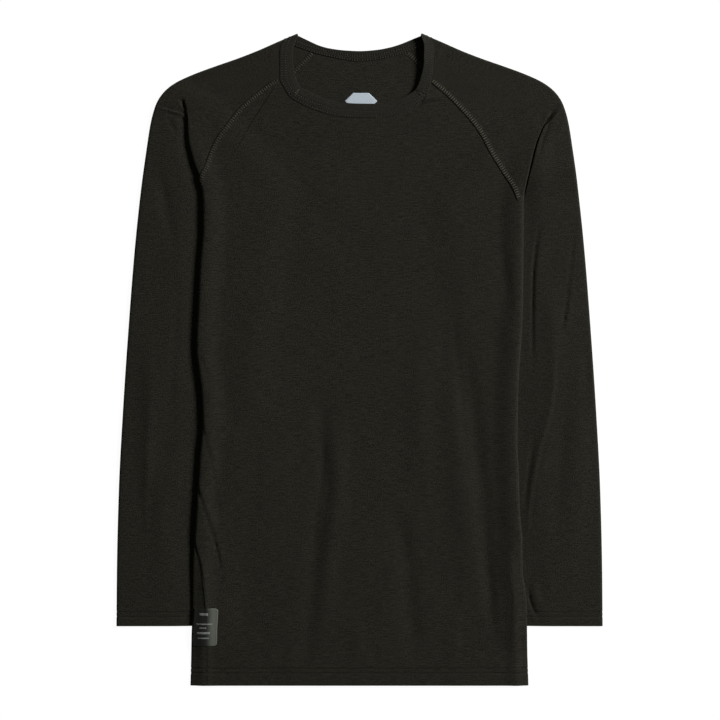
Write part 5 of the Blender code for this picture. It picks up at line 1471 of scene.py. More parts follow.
class Trim:
    """Closed strips and threads of one seam, gathered into one mesh."""

    def __init__(self):
        self.points = []
        self.grain = []
        self.faces = []
        self.numbers = []
        self.count = 0

    def add(self, points, faces, number, grain=None):
        """Add closed parts, with the number of their material."""
        points = points.reshape(-1, 3)
        self.points.append(points)
        self.grain.append(np.zeros((len(points), 2)) if grain is None else grain.reshape(-1, 2))
        for block in faces:
            self.faces.extend((block + self.count).tolist())
            self.numbers.extend([number] * len(block))
        self.count += len(points)

    def add_strip(self, points, normals, heights, offsets, number):
        """Add a thin strip on a grid of points, its rows along it and its columns across."""
        rows, columns = points.shape[:2]
        top = points + normals * heights[..., None]
        low = points - normals * STRIP_SINK
        loop = np.concatenate([top, low[:, ::-1]], axis=1)
        count = 2 * columns
        here = np.arange(count)
        ahead = (here + 1) % count
        base = np.arange(rows - 1)[:, None] * count
        sides = np.stack([base + here, base + ahead,
                          base + ahead + count, base + here + count], axis=-1)
        caps = np.stack([here[::-1], here + (rows - 1) * count])
        face = top[0, :2], top[1, 0]
        looks = np.dot(np.cross(face[0][1] - face[0][0], face[1] - face[0][0]), normals[0, 0])
        faces = [sides.reshape(-1, 4), caps]
        if looks < 0.0:
            faces = [block[:, ::-1] for block in faces]
        way = length_along(points[:, columns // 2])
        across = np.concatenate([offsets, offsets[::-1]])
        grain = np.stack(np.broadcast_arrays(across[None, :], way[:, None]), axis=-1)
        self.add(loop, faces, number, grain)

    def add_threads(self, starts, ends, outward, radius, bow, number):
        """Add short threads from point to point, bowed outwards and thinner at their ends.

        Those that look down are thin and straight, as the top lies on them.
        """
        part = np.linspace(0.0, 1.0, THREAD_RINGS)
        rise = np.sqrt(np.clip(np.sin(math.pi * part), 0.0, 1.0))
        below = outward[:, 2] < DOWNWARD
        radius = np.where(below, min(radius, UNDER_THREAD), radius)
        bow = np.where(below, 0.0, bow)
        along = unit(ends - starts)
        beside_way = unit(np.cross(along, outward))
        upward = np.cross(beside_way, along)
        centre = starts[:, None] + part[None, :, None] * (ends - starts)[:, None]
        centre = centre + upward[:, None] * (bow[:, None] * rise ** 2)[..., None]
        angle = 2.0 * math.pi * np.arange(THREAD_SIDES) / THREAD_SIDES
        ring = (np.cos(angle)[None, :, None] * beside_way[:, None]
                + np.sin(angle)[None, :, None] * upward[:, None])
        width = radius[:, None] * (0.5 + 0.5 * rise)
        points = centre[:, :, None] + width[:, :, None, None] * ring[:, None]
        base = (np.arange(len(starts)) * THREAD_RINGS * THREAD_SIDES)[:, None, None]
        level = (np.arange(THREAD_RINGS - 1) * THREAD_SIDES)[None, :, None]
        here = np.arange(THREAD_SIDES)
        ahead = (here + 1) % THREAD_SIDES
        low, high = base + level, base + level + THREAD_SIDES
        sides = np.stack([low + here, low + ahead, high + ahead, high + here], axis=-1)
        first = (base[:, :, 0] + here[::-1])
        last = first[:, ::-1] + (THREAD_RINGS - 1) * THREAD_SIDES
        self.add(points, [sides.reshape(-1, 4), first, last], number)

    def finish(self, name, materials):
        """Make the object."""
        return make_object(name, np.concatenate(self.points), self.faces, materials,
                           np.concatenate(self.grain), self.numbers, SHARP_TRIM)


def place_cloth(piece, slot, *nodes):
    """A cloth piece stands for its solids and moves with the body; the slot it is given is not
    used.
    """
    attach(piece, "root")
    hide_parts(*nodes)
    return piece


def place_trim(piece):
    """A seam or stitching moves with the body."""
    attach(piece, "root")
    return piece


# ----------------------------------------------------------------------------------- materials


def add_node(tree, kind, inputs=None, **settings):
    """Add a node; its inputs are values, or sockets to link."""
    node = tree.nodes.new(kind)
    for key, value in settings.items():
        setattr(node, key, value)
    for key, value in (inputs or {}).items():
        if isinstance(value, bpy.types.NodeSocket):
            tree.links.new(value, node.inputs[key])
        else:
            node.inputs[key].default_value = value
    return node


def maths(tree, operation, first, second=0.0, third=None, clamp=False):
    """One step of arithmetic between sockets or numbers."""
    inputs = {0: first, 1: second}
    if third is not None:
        inputs[2] = third
    return add_node(tree, "ShaderNodeMath", inputs, operation=operation, use_clamp=clamp).outputs[0]


def scaled(tree, vector, across, along):
    """A vector whose two directions are divided by lengths."""
    divisor = add_node(tree, "ShaderNodeCombineXYZ", {0: across, 1: along, 2: 1.0})
    return add_node(tree, "ShaderNodeVectorMath", {0: vector, 1: divisor.outputs[0]},
                    operation="DIVIDE").outputs[0]


def noise(tree, vector, scale, detail, roughness=0.5, dimensions="3D"):
    """A noise texture's value."""
    inputs = {"Vector": vector, "Scale": scale, "Detail": detail, "Roughness": roughness}
    return add_node(tree, "ShaderNodeTexNoise", inputs, noise_dimensions=dimensions).outputs[0]


def mixed(tree, share, first, second):
    """A colour between two."""
    return add_node(tree, "ShaderNodeMix", {0: share, 6: first, 7: second},
                    data_type="RGBA").outputs[2]


def new_group(name, inputs, outputs):
    """Start a shader node group with named sockets."""
    group = bpy.data.node_groups.new(name, "ShaderNodeTree")
    for label, kind, value in inputs:
        socket = group.interface.new_socket(label, in_out="INPUT", socket_type=kind)
        if value is not None:
            socket.default_value = value
    for label, kind in outputs:
        group.interface.new_socket(label, in_out="OUTPUT", socket_type=kind)
    return group, group.nodes.new("NodeGroupInput"), group.nodes.new("NodeGroupOutput")


COURSE_STREAK = (0.02, 0.001)   # length and height of the heather's longest streaks
SPECK_SCALE = 900.0     # the heather's specks and clouds, in so many a metre
CLOUD_SCALE = 26.0
STREAK_SHARE = 2.0      # how much each of them changes the tone
COURSE_SHARE = 0.85
SPECK_SHARE = 3.2
CLOUD_SHARE = 0.2
HEATHER_DEEP = 0.45     # darkest and palest yarn, in shares of the cloth's colour
HEATHER_PALE = 1.6


def heather_group():
    """Colour of heathered yarn: streaks along the courses, specks and faint clouds."""
    found = bpy.data.node_groups.get("Heather")
    if found:
        return found
    group, start, end = new_group(
        "Heather",
        (("Vector", "NodeSocketVector", None), ("Deep", "NodeSocketColor", (0, 0, 0, 1)),
         ("Pale", "NodeSocketColor", (1, 1, 1, 1)), ("Streak Length", "NodeSocketFloat", 0.008),
         ("Streak Height", "NodeSocketFloat", 0.0007), ("Contrast", "NodeSocketFloat", 1.0)),
        (("Color", "NodeSocketColor"), ("Tone", "NodeSocketFloat")))
    vector = start.outputs["Vector"]
    streak_way = scaled(
        group, vector, start.outputs["Streak Length"], start.outputs["Streak Height"])
    streaks = noise(group, streak_way, 1.0, 2.0, roughness=0.6, dimensions="2D")
    courses = noise(group, scaled(group, vector, *COURSE_STREAK), 1.0, 1.0, dimensions="2D")
    specks = noise(group, vector, SPECK_SCALE, 1.0, dimensions="2D")
    clouds = noise(group, vector, CLOUD_SCALE, 3.0, dimensions="2D")
    tone = 0.0
    for layer, share in ((streaks, STREAK_SHARE), (courses, COURSE_SHARE), (specks, SPECK_SHARE),
                         (clouds, CLOUD_SHARE)):
        from_middle = maths(group, "SUBTRACT", layer, 0.5)
        tone = maths(group, "MULTIPLY_ADD", from_middle, share, tone)
    tone = maths(group, "MULTIPLY_ADD", tone, start.outputs["Contrast"], 0.5, clamp=True)
    colour = mixed(group, tone, start.outputs["Deep"], start.outputs["Pale"])
    group.links.new(colour, end.inputs["Color"])
    group.links.new(tone, end.inputs["Tone"])
    return group


def knit_group():
    """Height of plain jersey: wales of two slanting legs, course over course."""
    found = bpy.data.node_groups.get("Jersey Knit")
    if found:
        return found
    group, start, end = new_group(
        "Jersey Knit",
        (("Vector", "NodeSocketVector", None), ("Wale", "NodeSocketFloat", 0.0009),
         ("Course", "NodeSocketFloat", 0.0007)),
        (("Height", "NodeSocketFloat"),))
    way = scaled(group, start.outputs["Vector"], start.outputs["Wale"], start.outputs["Course"])
    split = add_node(group, "ShaderNodeSeparateXYZ", {0: way})
    across = maths(group, "FRACT", split.outputs[0])
    from_middle = maths(group, "ABSOLUTE", maths(group, "SUBTRACT", across, 0.5))
    leg = maths(group, "MULTIPLY", from_middle, 2.0)
    ridge = maths(group, "PINGPONG", leg, 0.5)
    slanted = maths(group, "MULTIPLY_ADD", leg, 0.5, split.outputs[1])
    loop = maths(group, "PINGPONG", slanted, 0.5)
    height = maths(group, "MULTIPLY", maths(group, "SQRT", ridge), maths(group, "ADD", loop, 0.5))
    group.links.new(height, end.inputs["Height"])
    return group


def twill_group():
    """Height of a fine ribbon weave."""
    found = bpy.data.node_groups.get("Ribbon Weave")
    if found:
        return found
    group, start, end = new_group(
        "Ribbon Weave",
        (("Vector", "NodeSocketVector", None), ("Thread", "NodeSocketFloat", 0.0004)),
        (("Height", "NodeSocketFloat"),))
    way = scaled(group, start.outputs["Vector"], start.outputs["Thread"], start.outputs["Thread"])
    split = add_node(group, "ShaderNodeSeparateXYZ", {0: way})
    warp = maths(group, "PINGPONG", maths(group, "ADD", split.outputs[0], split.outputs[1]), 0.5)
    weft = maths(group, "PINGPONG", split.outputs[1], 0.5)
    height = maths(group, "ADD", warp, maths(group, "MULTIPLY", weft, 0.5))
    group.links.new(height, end.inputs["Height"])
    return group


def start_material(name, roughness):
    """A material with a Principled shader, and the piece's grain as its coordinates."""
    material = bpy.data.materials.new(name)
    material.use_nodes = True
    tree = material.node_tree
    shader = tree.nodes["Principled BSDF"]
    shader.inputs["Roughness"].default_value = roughness
    grain = add_node(tree, "ShaderNodeUVMap", uv_map="grain")
    return material, tree, shader, grain.outputs["UV"]


def add_bump(tree, shader, height, distance, strength):
    """Bump from a height in shares of a distance."""
    bump = add_node(tree, "ShaderNodeBump", {
        "Height": height, "Distance": distance, "Strength": strength})
    tree.links.new(bump.outputs["Normal"], shader.inputs["Normal"])


def tinted(colour, share):
    """A colour made lighter or darker."""
    return tuple(channel * share for channel in colour) + (1.0,)


def jersey_material(name, colour, contrast, streak_length):
    """Fine matt wool jersey: heathered yarn, knitted wales and a little sheen."""
    found = bpy.data.materials.get(name)
    if found:
        return found
    material, tree, shader, grain = start_material(name, 0.85)
    shader.inputs["Specular IOR Level"].default_value = 0.12
    shader.inputs["Sheen Weight"].default_value = 0.04
    shader.inputs["Sheen Roughness"].default_value = 0.5
    shader.inputs["Sheen Tint"].default_value = (0.9, 0.88, 0.72, 1.0)
    heather = add_node(tree, "ShaderNodeGroup", node_tree=heather_group(), inputs={
        "Vector": grain, "Deep": tinted(colour, HEATHER_DEEP),
        "Pale": tinted(colour, HEATHER_PALE), "Streak Length": streak_length,
        "Contrast": contrast})
    knit = add_node(tree, "ShaderNodeGroup", {"Vector": grain}, node_tree=knit_group())
    tree.links.new(heather.outputs["Color"], shader.inputs["Base Color"])
    fuzz = maths(tree, "MULTIPLY_ADD", heather.outputs["Tone"], 0.6, knit.outputs["Height"])
    add_bump(tree, shader, fuzz, 0.0003, 0.45)
    material.diffuse_color = (*colour, 1.0)
    return material


def thread_material(name, colour):
    """Sewing thread: smooth, with a faint change of tone along it."""
    found = bpy.data.materials.get(name)
    if found:
        return found
    material = bpy.data.materials.new(name)
    material.use_nodes = True
    tree = material.node_tree
    shader = tree.nodes["Principled BSDF"]
    shader.inputs["Roughness"].default_value = 0.6
    shader.inputs["Specular IOR Level"].default_value = 0.3
    place = add_node(tree, "ShaderNodeTexCoord")
    share = noise(tree, place.outputs["Object"], 400.0, 1.0)
    mix = mixed(tree, share, tinted(colour, 0.6), tinted(colour, 1.4))
    tree.links.new(mix, shader.inputs["Base Color"])
    material.diffuse_color = (*colour, 1.0)
    return material


def label_material(name, colour, roughness, sheen, painted_shade=None):
    """Ribbon of a label: fine weave, satin where it has a sheen, and painted shade outwards if
    given: a darker colour where it turns away from the light.
    """
    found = bpy.data.materials.get(name)
    if found:
        return found
    material, tree, shader, grain = start_material(name, roughness)
    shader.inputs["Specular IOR Level"].default_value = sheen
    weave = add_node(tree, "ShaderNodeGroup", {"Vector": grain}, node_tree=twill_group())
    mix = mixed(tree, noise(tree, grain, 700.0, 2.0), tinted(colour, 0.86), tinted(colour, 1.14))
    # Painted shade: a darker colour outwards across the ribbon, standing in for the shade where the
    # label turns away from the light.
    if painted_shade:
        across = add_node(tree, "ShaderNodeSeparateXYZ", {0: grain}).outputs[0]
        painted_shade_mask = add_node(tree, "ShaderNodeMapRange", {
            "Value": across, "From Min": PAINTED_SHADE_START * MM, "From Max": PAINTED_SHADE_END * MM},
            interpolation_type="SMOOTHSTEP")
        mix = mixed(tree, painted_shade_mask.outputs[0], mix, (*painted_shade, 1.0))
    tree.links.new(mix, shader.inputs["Base Color"])
    add_bump(tree, shader, weave.outputs["Height"], 0.0002, 0.35)
    material.diffuse_color = (*colour, 1.0)
    return material


# --------------------------------------------------------------------------------- properties


class BaseLayerSizes(bpy.types.PropertyGroup):
    """Sizes that a maker would change."""

    jersey: bpy.props.FloatProperty(
        name="Jersey", description="Thickness of the body cloth", default=0.0008, unit="LENGTH")
    band: bpy.props.FloatProperty(
        name="Neck band", description="Thickness of the folded neck band", default=0.0014,
        unit="LENGTH")
    label: bpy.props.FloatProperty(
        name="Label", description="Thickness of a label", default=0.0004, unit="LENGTH")
    hem_raise: bpy.props.FloatProperty(
        name="Hem step", description="How far a turned hem stands up", default=0.0003,
        unit="LENGTH")
    unevenness: bpy.props.FloatProperty(
        name="Unevenness", description="How much the loose cloth rises and falls", default=0.00012,
        unit="LENGTH")
    thread: bpy.props.FloatProperty(
        name="Thread", description="Radius of the sewing thread", default=0.00017, unit="LENGTH")
    stitch: bpy.props.FloatProperty(
        name="Stitch", description="Length of one stitch", default=0.0027, unit="LENGTH")


class BaseLayerColours(bpy.types.PropertyGroup):
    """Colours that a maker would change."""

    jersey: bpy.props.FloatVectorProperty(
        name="Jersey", description="Body and sleeves", subtype="COLOR", size=3,
        default=(0.0172, 0.0162, 0.0115))
    band: bpy.props.FloatVectorProperty(
        name="Neck band", description="Folded band round the neck", subtype="COLOR", size=3,
        default=(0.0180, 0.0171, 0.0128))
    thread: bpy.props.FloatVectorProperty(
        name="Thread", description="Cover stitching of most seams", subtype="COLOR", size=3,
        default=(0.082, 0.078, 0.054))
    pale_thread: bpy.props.FloatVectorProperty(
        name="Pale thread", description="Cover stitching of the left raglan seam", subtype="COLOR",
        size=3, default=(0.145, 0.136, 0.092))
    # Partly painted shade: this near-black thread is partly the needle thread's own colour and
    # partly the shade of the grooves that rows of stitches draw.
    dark_thread_and_shade: bpy.props.FloatVectorProperty(
        name="Hem thread", description="Needle thread of the hems", subtype="COLOR", size=3,
        default=(0.004, 0.004, 0.003))
    bars: bpy.props.FloatVectorProperty(
        name="Bars", description="Plain bars on the label at the side seam", subtype="COLOR",
        size=3, default=(0.18, 0.187, 0.18))
    # Painted shade: the care label's outer part, where it turns away from the light over the rolled
    # edge, is painted in this darker colour.
    satin_painted_shade: bpy.props.FloatVectorProperty(
        name="Satin painted shade", description="Darker part of the label at the side seam",
        subtype="COLOR", size=3, default=(0.013, 0.0142, 0.011))
    woven: bpy.props.FloatVectorProperty(
        name="Woven label", description="Label in the neck", subtype="COLOR", size=3,
        default=(0.55, 0.62, 0.68))
    satin: bpy.props.FloatVectorProperty(
        name="Satin label", description="Label at the side seam", subtype="COLOR", size=3,
        default=(0.10, 0.107, 0.088))


TURNED_RAISE = BaseLayerSizes.__annotations__["hem_raise"].keywords["default"] / MM


def sizes():
    """The scene's sizes."""
    return bpy.context.scene.base_layer_sizes


def colours():
    """The scene's colours."""
    return bpy.context.scene.base_layer_colours


def body_jersey():
    """Cloth of the front and back."""
    return jersey_material("Body jersey", tuple(colours().jersey), 1.0, 0.008)


def sleeve_jersey():
    """Cloth of the sleeves."""
    return jersey_material("Sleeve jersey", tuple(colours().jersey), 0.9, 0.006)


def band_jersey():
    """Cloth of the neck band."""
    return jersey_material("Neck band jersey", tuple(colours().band), 0.7, 0.004)


def seam_thread():
    """Thread of most seams."""
    return thread_material("Seam thread", tuple(colours().thread))


def pale_thread():
    """Lighter thread of the wearer's left raglan seam and of the tacks."""
    return thread_material("Pale thread", tuple(colours().pale_thread))


def dark_thread_and_shade():
    """Dark thread of the hems: partly the thread's own colour, partly painted shade of the grooves
    that the stitches draw.
    """
    return thread_material("Hem thread", tuple(colours().dark_thread_and_shade))


def plain_thread():
    """Thread in the cloth's own colour."""
    return thread_material("Plain thread", tuple(colours().jersey))


# -------------------------------------------------------------------------------------- pieces


def seam_ends(side, raglan, start_y, count):
    """Ends of a panel's rows on a raglan seam, above the underarm point."""
    last = UNDERARM_Y + SEAM_GAP / 2.0
    return [(side.sign * beside(raglan, y, -SEAM_GAP / 2.0), y)
            for y in np.linspace(start_y, last, count + 1)[:-1]]


def hem_thickness(points, end_y, depth, extra):
    """Thickness of the cloth, doubled towards the turned hem."""
    return sizes().jersey / MM + extra * turned_raise(points[:, 1], end_y, depth)


def panel(name, neckline, full_rows, top_row, raglans, start_ys, heights, flip):
    """Front or back panel: the yoke above the underarm points and the full rows below them."""
    right_ends = seam_ends(RIGHT, raglans[0], start_ys[0], YOKE_ROWS)
    left_ends = seam_ends(LEFT, raglans[1], start_ys[1], YOKE_ROWS)
    yoke = yoke_rows(neckline, top_row, right_ends, left_ends, heights) + [top_row]
    sheet = Sheet()
    sheet.add(yoke, flat_grain(yoke), flip)
    middle = len(full_rows[0]) // 4
    sheet.add(full_rows, plan_grain(full_rows, middle), flip)
    points, grain, faces = sheet.merged()
    add_relief(points, faces, 1.0, HEM_Y, HEM_LINES)
    outer_faces[name] = points, faces
    thickness = hem_thickness(points, HEM_Y, HEM_DEPTH, HEM_DOUBLE)
    points, grain, faces = close_wall(points, grain, faces, thickness, CLOTH_BULGE)
    return make_object(name, points, faces, [body_jersey()], grain)


def build_front():
    """Front panel."""
    stations = down_to_hem(UNDERARM_Y - SEAM_GAP / 2.0, HEM_Y, HEM_DEPTH, ROW_STEP)
    rows = front_rows(stations)
    top_row = rows[0][ROUND_CELLS:len(rows[0]) - ROUND_CELLS]
    piece = panel("front_panel_cloth", front_neckline, rows, top_row, (RIGHT.raglan, LEFT.raglan),
                  (RIGHT.corner_y, LEFT.corner_y), both_heights, True)
    return place_cloth(piece, "body_jersey", "front_panel")


def build_back():
    """Back panel."""
    stations = down_to_hem(UNDERARM_Y - SEAM_GAP / 2.0, HEM_Y, HEM_DEPTH, BACK_ROW_STEP)
    rows = back_rows(stations)
    piece = panel("back_panel_cloth", back_neckline, rows, rows[0],
                  (RIGHT.back_raglan, LEFT.back_raglan), (RIGHT.back_y, LEFT.back_y), both_backs,
                  False)
    return place_cloth(piece, "body_jersey", "back_panel")


def sleeve_grain(rows, ways, rim_column):
    """Grain of a sleeve: along each row from its outer edge, and down the sleeve."""
    grains = []
    for row, way in zip(rows, ways):
        along = length_along(row)
        grains.append(np.stack([along - along[rim_column], np.full(len(row), -way)], axis=1))
    return grains


def clear_of_body(side, points):
    """Where a sleeve's face lies free, and not folded under the body or against it."""
    x, y, z = np.abs(points[:, 0]), points[:, 1], points[:, 2]
    edge = np.where(y > UNDERARM_Y, side.fold(y), side.edge(y))
    outside = smooth_step((x - edge - FREE_START) / FREE_RUN)
    on_top = smooth_step((z - UNDER_LIFT - FREE_LIFT) / FREE_RISE)
    return np.where(y > side.apex_y, 1.0, np.maximum(outside, on_top))


def build_sleeve(side):
    """One sleeve, from the neck seam to the cuff."""
    cells = SLEEVE_CELLS
    upper = shoulder_rows(side, cells, FAN_ROWS) + armhole_rows(side, cells)
    first = cells["top"] + cells["fold"] + cells["layer"] + cells["turn"]
    stations = spaced(UNDERARM_Y - UNDERARM_STEP, UNDERARM_Y - ROW_STEP, UNDERARM_STEP)
    stations += down_to_hem(UNDERARM_Y - ROW_STEP, CUFF_Y, CUFF_DEPTH, ROW_STEP)
    lower = arm_rows(side, cells, stations, upper[-1][first:])
    rim_column = first + cells["turn"] + cells["below"] + cells["open"]
    ways = [float(outline_way(row[rim_column][1])) for row in upper]
    start_way = ways[0]
    for index in range(FAN_ROWS):
        ways[index] = start_way + (ways[FAN_ROWS] - start_way) * index / FAN_ROWS
    lower_ways = [float(outline_way(row[rim_column - first][1])) for row in lower]
    sheet = Sheet()
    for rows, row_ways, column in ((upper, ways, rim_column),
                                   (lower, lower_ways, rim_column - first)):
        grains = sleeve_grain(rows, row_ways, column)
        sheet.add([mirrored(row, side) for row in rows], grains, side.sign > 0)
    points, grain, faces = sheet.merged()
    add_relief(points, faces, clear_of_body(side, points), CUFF_Y, CUFF_LINES)
    name = side.name + "_cloth"
    outer_faces[name] = points, faces
    thickness = hem_thickness(points, CUFF_Y, CUFF_DEPTH, CUFF_DOUBLE)
    points, grain, faces = close_wall(points, grain, faces, thickness, CLOTH_BULGE)
    piece = make_object(name, points, faces, [sleeve_jersey()], grain)
    return place_cloth(piece, "sleeve_jersey", side.name)


def along_band(rows, index, next_index, distance):
    """Move one row of the band towards its neighbour."""
    rows[index] = rows[index] + unit(rows[next_index] - rows[index]) * distance


def band_piece(name, rows, node):
    """One piece of the neck band from its rows."""
    ways = length_along([row[0] for row in rows])
    grains = [np.stack([np.full(len(row), way), length_along(row)], axis=1)
              for row, way in zip(rows, ways)]
    sheet = Sheet()
    sheet.add(rows, grains, True)
    points, grain, faces = sheet.merged()
    outer_faces[name] = points, faces
    band_lines[name] = rows
    thickness = sizes().band / MM - grooves(grain[:, 1], BACK_BAND_LINES)
    points, grain, faces = close_wall(points, grain, faces, thickness, BAND_BULGE)
    piece = make_object(name, points, faces, [band_jersey()], grain)
    return place_cloth(piece, "neck_band_jersey", node)


def build_neck_band():
    """The band's front part between the mitres, and the rest over the shoulders and the back."""
    ways, front = front_band_rows()
    mitres = [int(np.argmin(np.abs(ways - front_ways[row]))) for row in MITRE_ROWS]
    front_part = front[mitres[0]:mitres[1] + 1]
    along_band(front_part, 0, 1, MITRE_GAP)
    along_band(front_part, -1, -2, MITRE_GAP)
    left_part = front[mitres[1]:]
    along_band(left_part, 0, 1, MITRE_GAP)
    right_part = front[mitres[0]::-1]
    along_band(right_part, 0, 1, MITRE_GAP)
    left_peak = peak_rows(left_part[-1], FRONT_BAND["seam_y"][-1], 1, SLEEVE_CELLS["rim"])
    right_peak = peak_rows(right_part[-1], FRONT_BAND["seam_y"][0], -1, SLEEVE_CELLS["rim"])
    rest = left_part + left_peak + back_band_rows() + right_peak[::-1] + right_part[::-1]
    return (band_piece("neck_band_front_cloth", front_part, "neck_band_front"),
            band_piece("neck_band_back_cloth", rest, "neck_band_back"))


def build_neck_label():
    """Woven label inside the back neck, bare, with clipped corners."""
    thickness = sizes().label / MM
    base = FLOOR_GAP + sizes().jersey / MM + NECK_LABEL_CLEAR
    stops = NECK_LABEL["y"]
    y = join([np.linspace(a, b, NECK_LABEL_ROWS + 1) for a, b in zip(stops, stops[1:])])
    half = np.interp(-y, -stops, NECK_LABEL["half"])
    rows = []
    for row_y, row_half in zip(y, half):
        x = NECK_LABEL_X + np.linspace(-1.0, 1.0, NECK_LABEL_CELLS + 1) * row_half
        rows.append(lay(np.stack([x, np.full_like(x, base + thickness)], axis=1), row_y))
    sheet = Sheet()
    sheet.add(rows, flat_grain(rows), True)
    points, grain, faces = close_wall(*sheet.merged(), thickness, NECK_LABEL_BULGE)
    material = label_material("Woven label ribbon", tuple(colours().woven), 0.6, 0.3)
    piece = make_object("neck_label_ribbon", points, faces, [material], grain)
    return place_cloth(piece, "woven_label", "neck_label")


def care_patch(tree, down, high, ways, lift, corner=0.0):
    """Rows and grain of a patch at the care label's place, over the body's rolled edge.

    Its ways run from the label's inner end outwards, and its inner corners may be rounded.
    """
    rows, grains = [], []
    for below in np.linspace(0.0, high, max(2, int(high)) + 1):
        into = max(corner - min(below, high - below), 0.0)
        inset = corner - math.sqrt(corner ** 2 - into ** 2)
        y = CARE_TOP_Y - down - below
        section, _, edge_index = body_side(RIGHT, y)
        start = length_along(section)[edge_index] - CARE_FROM_EDGE - CARE_WIDTH
        cells = max(2, int(ways[1] - ways[0]))
        part = resample(section, start + ways[0] + inset, start + ways[1], cells)
        points, normals = snap(tree, mirrored(lay(part, y), RIGHT))
        rows.append(points + normals * lift)
        way = ways[0] + inset + length_along(part)
        grains.append(np.stack([way, np.full(len(way), y)], axis=1))
    return rows, grains


def patch_wall(rows, grains, thickness):
    """A patch closed into a thin wall."""
    sheet = Sheet()
    sheet.add(rows, grains, False)
    return close_wall(*sheet.merged(), thickness, thickness / 4.0)


def build_care_label():
    """Satin label at the wearer's right side seam, bare but for plain bars."""
    tree = cloth_surface("front_panel_cloth", "back_panel_cloth")
    thickness = sizes().label / MM
    lift = CARE_LIFT + thickness
    patch = care_patch(tree, 0.0, CARE_LENGTH, (0.0, CARE_WIDTH), lift, CARE_CORNER)
    points, grain, faces = patch_wall(*patch, thickness)
    ribbon = label_material("Satin label ribbon", tuple(colours().satin), 0.42, 0.5,
                            tuple(colours().satin_painted_shade))
    piece = make_object("care_label_ribbon", points, faces, [ribbon], grain)
    bars = Trim()
    for down, high, start, end in zip(*CARE_BARS.values()):
        patch = care_patch(tree, down, high, (start, end), lift + BAR_THICKNESS)
        points, grain, faces = patch_wall(*patch, BAR_THICKNESS * BAR_SINK)
        bars.add(points, [faces], 0, grain)
    printed = label_material("Pale bars", tuple(colours().bars), 0.6, 0.2)
    place_trim(bars.finish("care_label_bars", [printed]))
    return place_cloth(piece, "satin_label", "care_label")


# --------------------------------------------------------------------------------------- seams


def spread(grid, step):
    """A grid of points with its rows set about a step apart."""
    middle = grid[:, grid.shape[1] // 2] if grid.ndim == 3 else grid
    way = length_along(middle)
    stops = np.linspace(0.0, way[-1], max(3, int(round(way[-1] / step))) + 1)
    flat = grid.reshape(len(grid), -1)
    return points_at(flat, way, stops).reshape((len(stops),) + grid.shape[1:])


def seam_grid(line, heights):
    """Grid of points over a seam: its plan line, spread across by the cover's offsets."""
    run_on = unit(np.gradient(line, axis=0))
    across = np.stack([run_on[:, 1], -run_on[:, 0]], axis=1)
    plan = line[:, None] + np.asarray(SEAM_OFFSETS)[None, :, None] * across[:, None]
    return np.dstack([plan, heights(plan[..., 0], plan[..., 1]) * np.ones(plan.shape[:2])])


def ladder(trim, left, right, outward, rungs, rails):
    """Cover stitches: a rung from line to line at each, and a darker stitch along each line."""
    at = np.arange(0, len(left) - 2, 2)
    radius = sizes().thread / MM
    trim.add_threads(left[at], right[at], outward[at], radius * RUNG_PART, BOW, rungs)
    for line in (left, right):
        trim.add_threads(line[at], line[at + 2], outward[at], radius * RAIL_PART, 0.0, rails)


def proud(normals, height):
    """A height above the cloth, and next to none where the cloth looks down."""
    part = smooth_step((normals[..., 2] - PROUD_TILT) / PROUD_RUN)
    return LOW_COVER + (height - LOW_COVER) * part


def cover(trim, points, normals, height):
    """Low strip of cloth over a flat seam; returns the points just above it."""
    heights = proud(normals, height) * np.asarray(SEAM_PROFILE)
    trim.add_strip(points, normals, heights, SEAM_OFFSETS, 0)
    lift = heights + proud(normals, sizes().thread / MM * THREAD_PROUD)
    return points + normals * lift[..., None]


def flat_seam(trim, points, normals, height, rungs):
    """Cover of a flat seam, and the threads over it."""
    top = cover(trim, points, normals, height)
    ladder(trim, top[:, 1], top[:, -2], normals[:, 3], rungs, 3)


def raglan_line(side, raglan, from_y, to_y):
    """Plan line of a raglan seam with points half a stitch apart."""
    y = np.linspace(from_y, to_y, RAGLAN_POINTS)
    return spread(np.stack([side.sign * raglan(y), y], axis=1), sizes().stitch / MM / 2.0)


def front_raglan_line(side):
    """Plan line of the seam on the front; on the wearer's right it goes over the fold's edge."""
    if side is LEFT:
        return raglan_line(side, side.raglan, side.corner_y - SEAM_START, UNDERARM_Y + SEAM_START)

    def drawn(y):
        part = np.clip((OVER_EDGE_Y + OVER_EDGE_RUN - y) / OVER_EDGE_RUN, 0.0, 1.0)
        return side.raglan(y) + (side.fold(y) - side.raglan(y)) * part ** 2

    return raglan_line(side, drawn, side.corner_y - SEAM_START, OVER_EDGE_Y - OVER_EDGE_END)


def build_raglan_seam(side, thread):
    """Both raglan seams of one sleeve: on the front, and on the back's outside and inside."""
    name = side.name + "_cloth"
    trim = Trim()
    tree = cloth_surface("front_panel_cloth", name)
    flat_seam(trim, *snap(tree, seam_grid(front_raglan_line(side), both_heights)), COVER_HEIGHT, 1)
    tree = cloth_surface("back_panel_cloth", name)
    line = raglan_line(side, side.back_raglan, side.back_y - SEAM_START, UNDERARM_Y + SEAM_START)
    flat_seam(trim, *snap(tree, seam_grid(line, on_surface)), COVER_HEIGHT, 2)
    line = raglan_line(side, side.back_raglan, side.back_y - SEAM_START, INSIDE_SEAM_END_Y)
    grid = seam_grid(line, on_surface)
    flat_seam(trim, *snap(tree, grid, sizes().jersey / MM), INSIDE_COVER, 2)
    materials = [sleeve_jersey(), thread, seam_thread(), dark_thread_and_shade()]
    return place_trim(trim.finish(side.name + "_raglan_seam", materials))


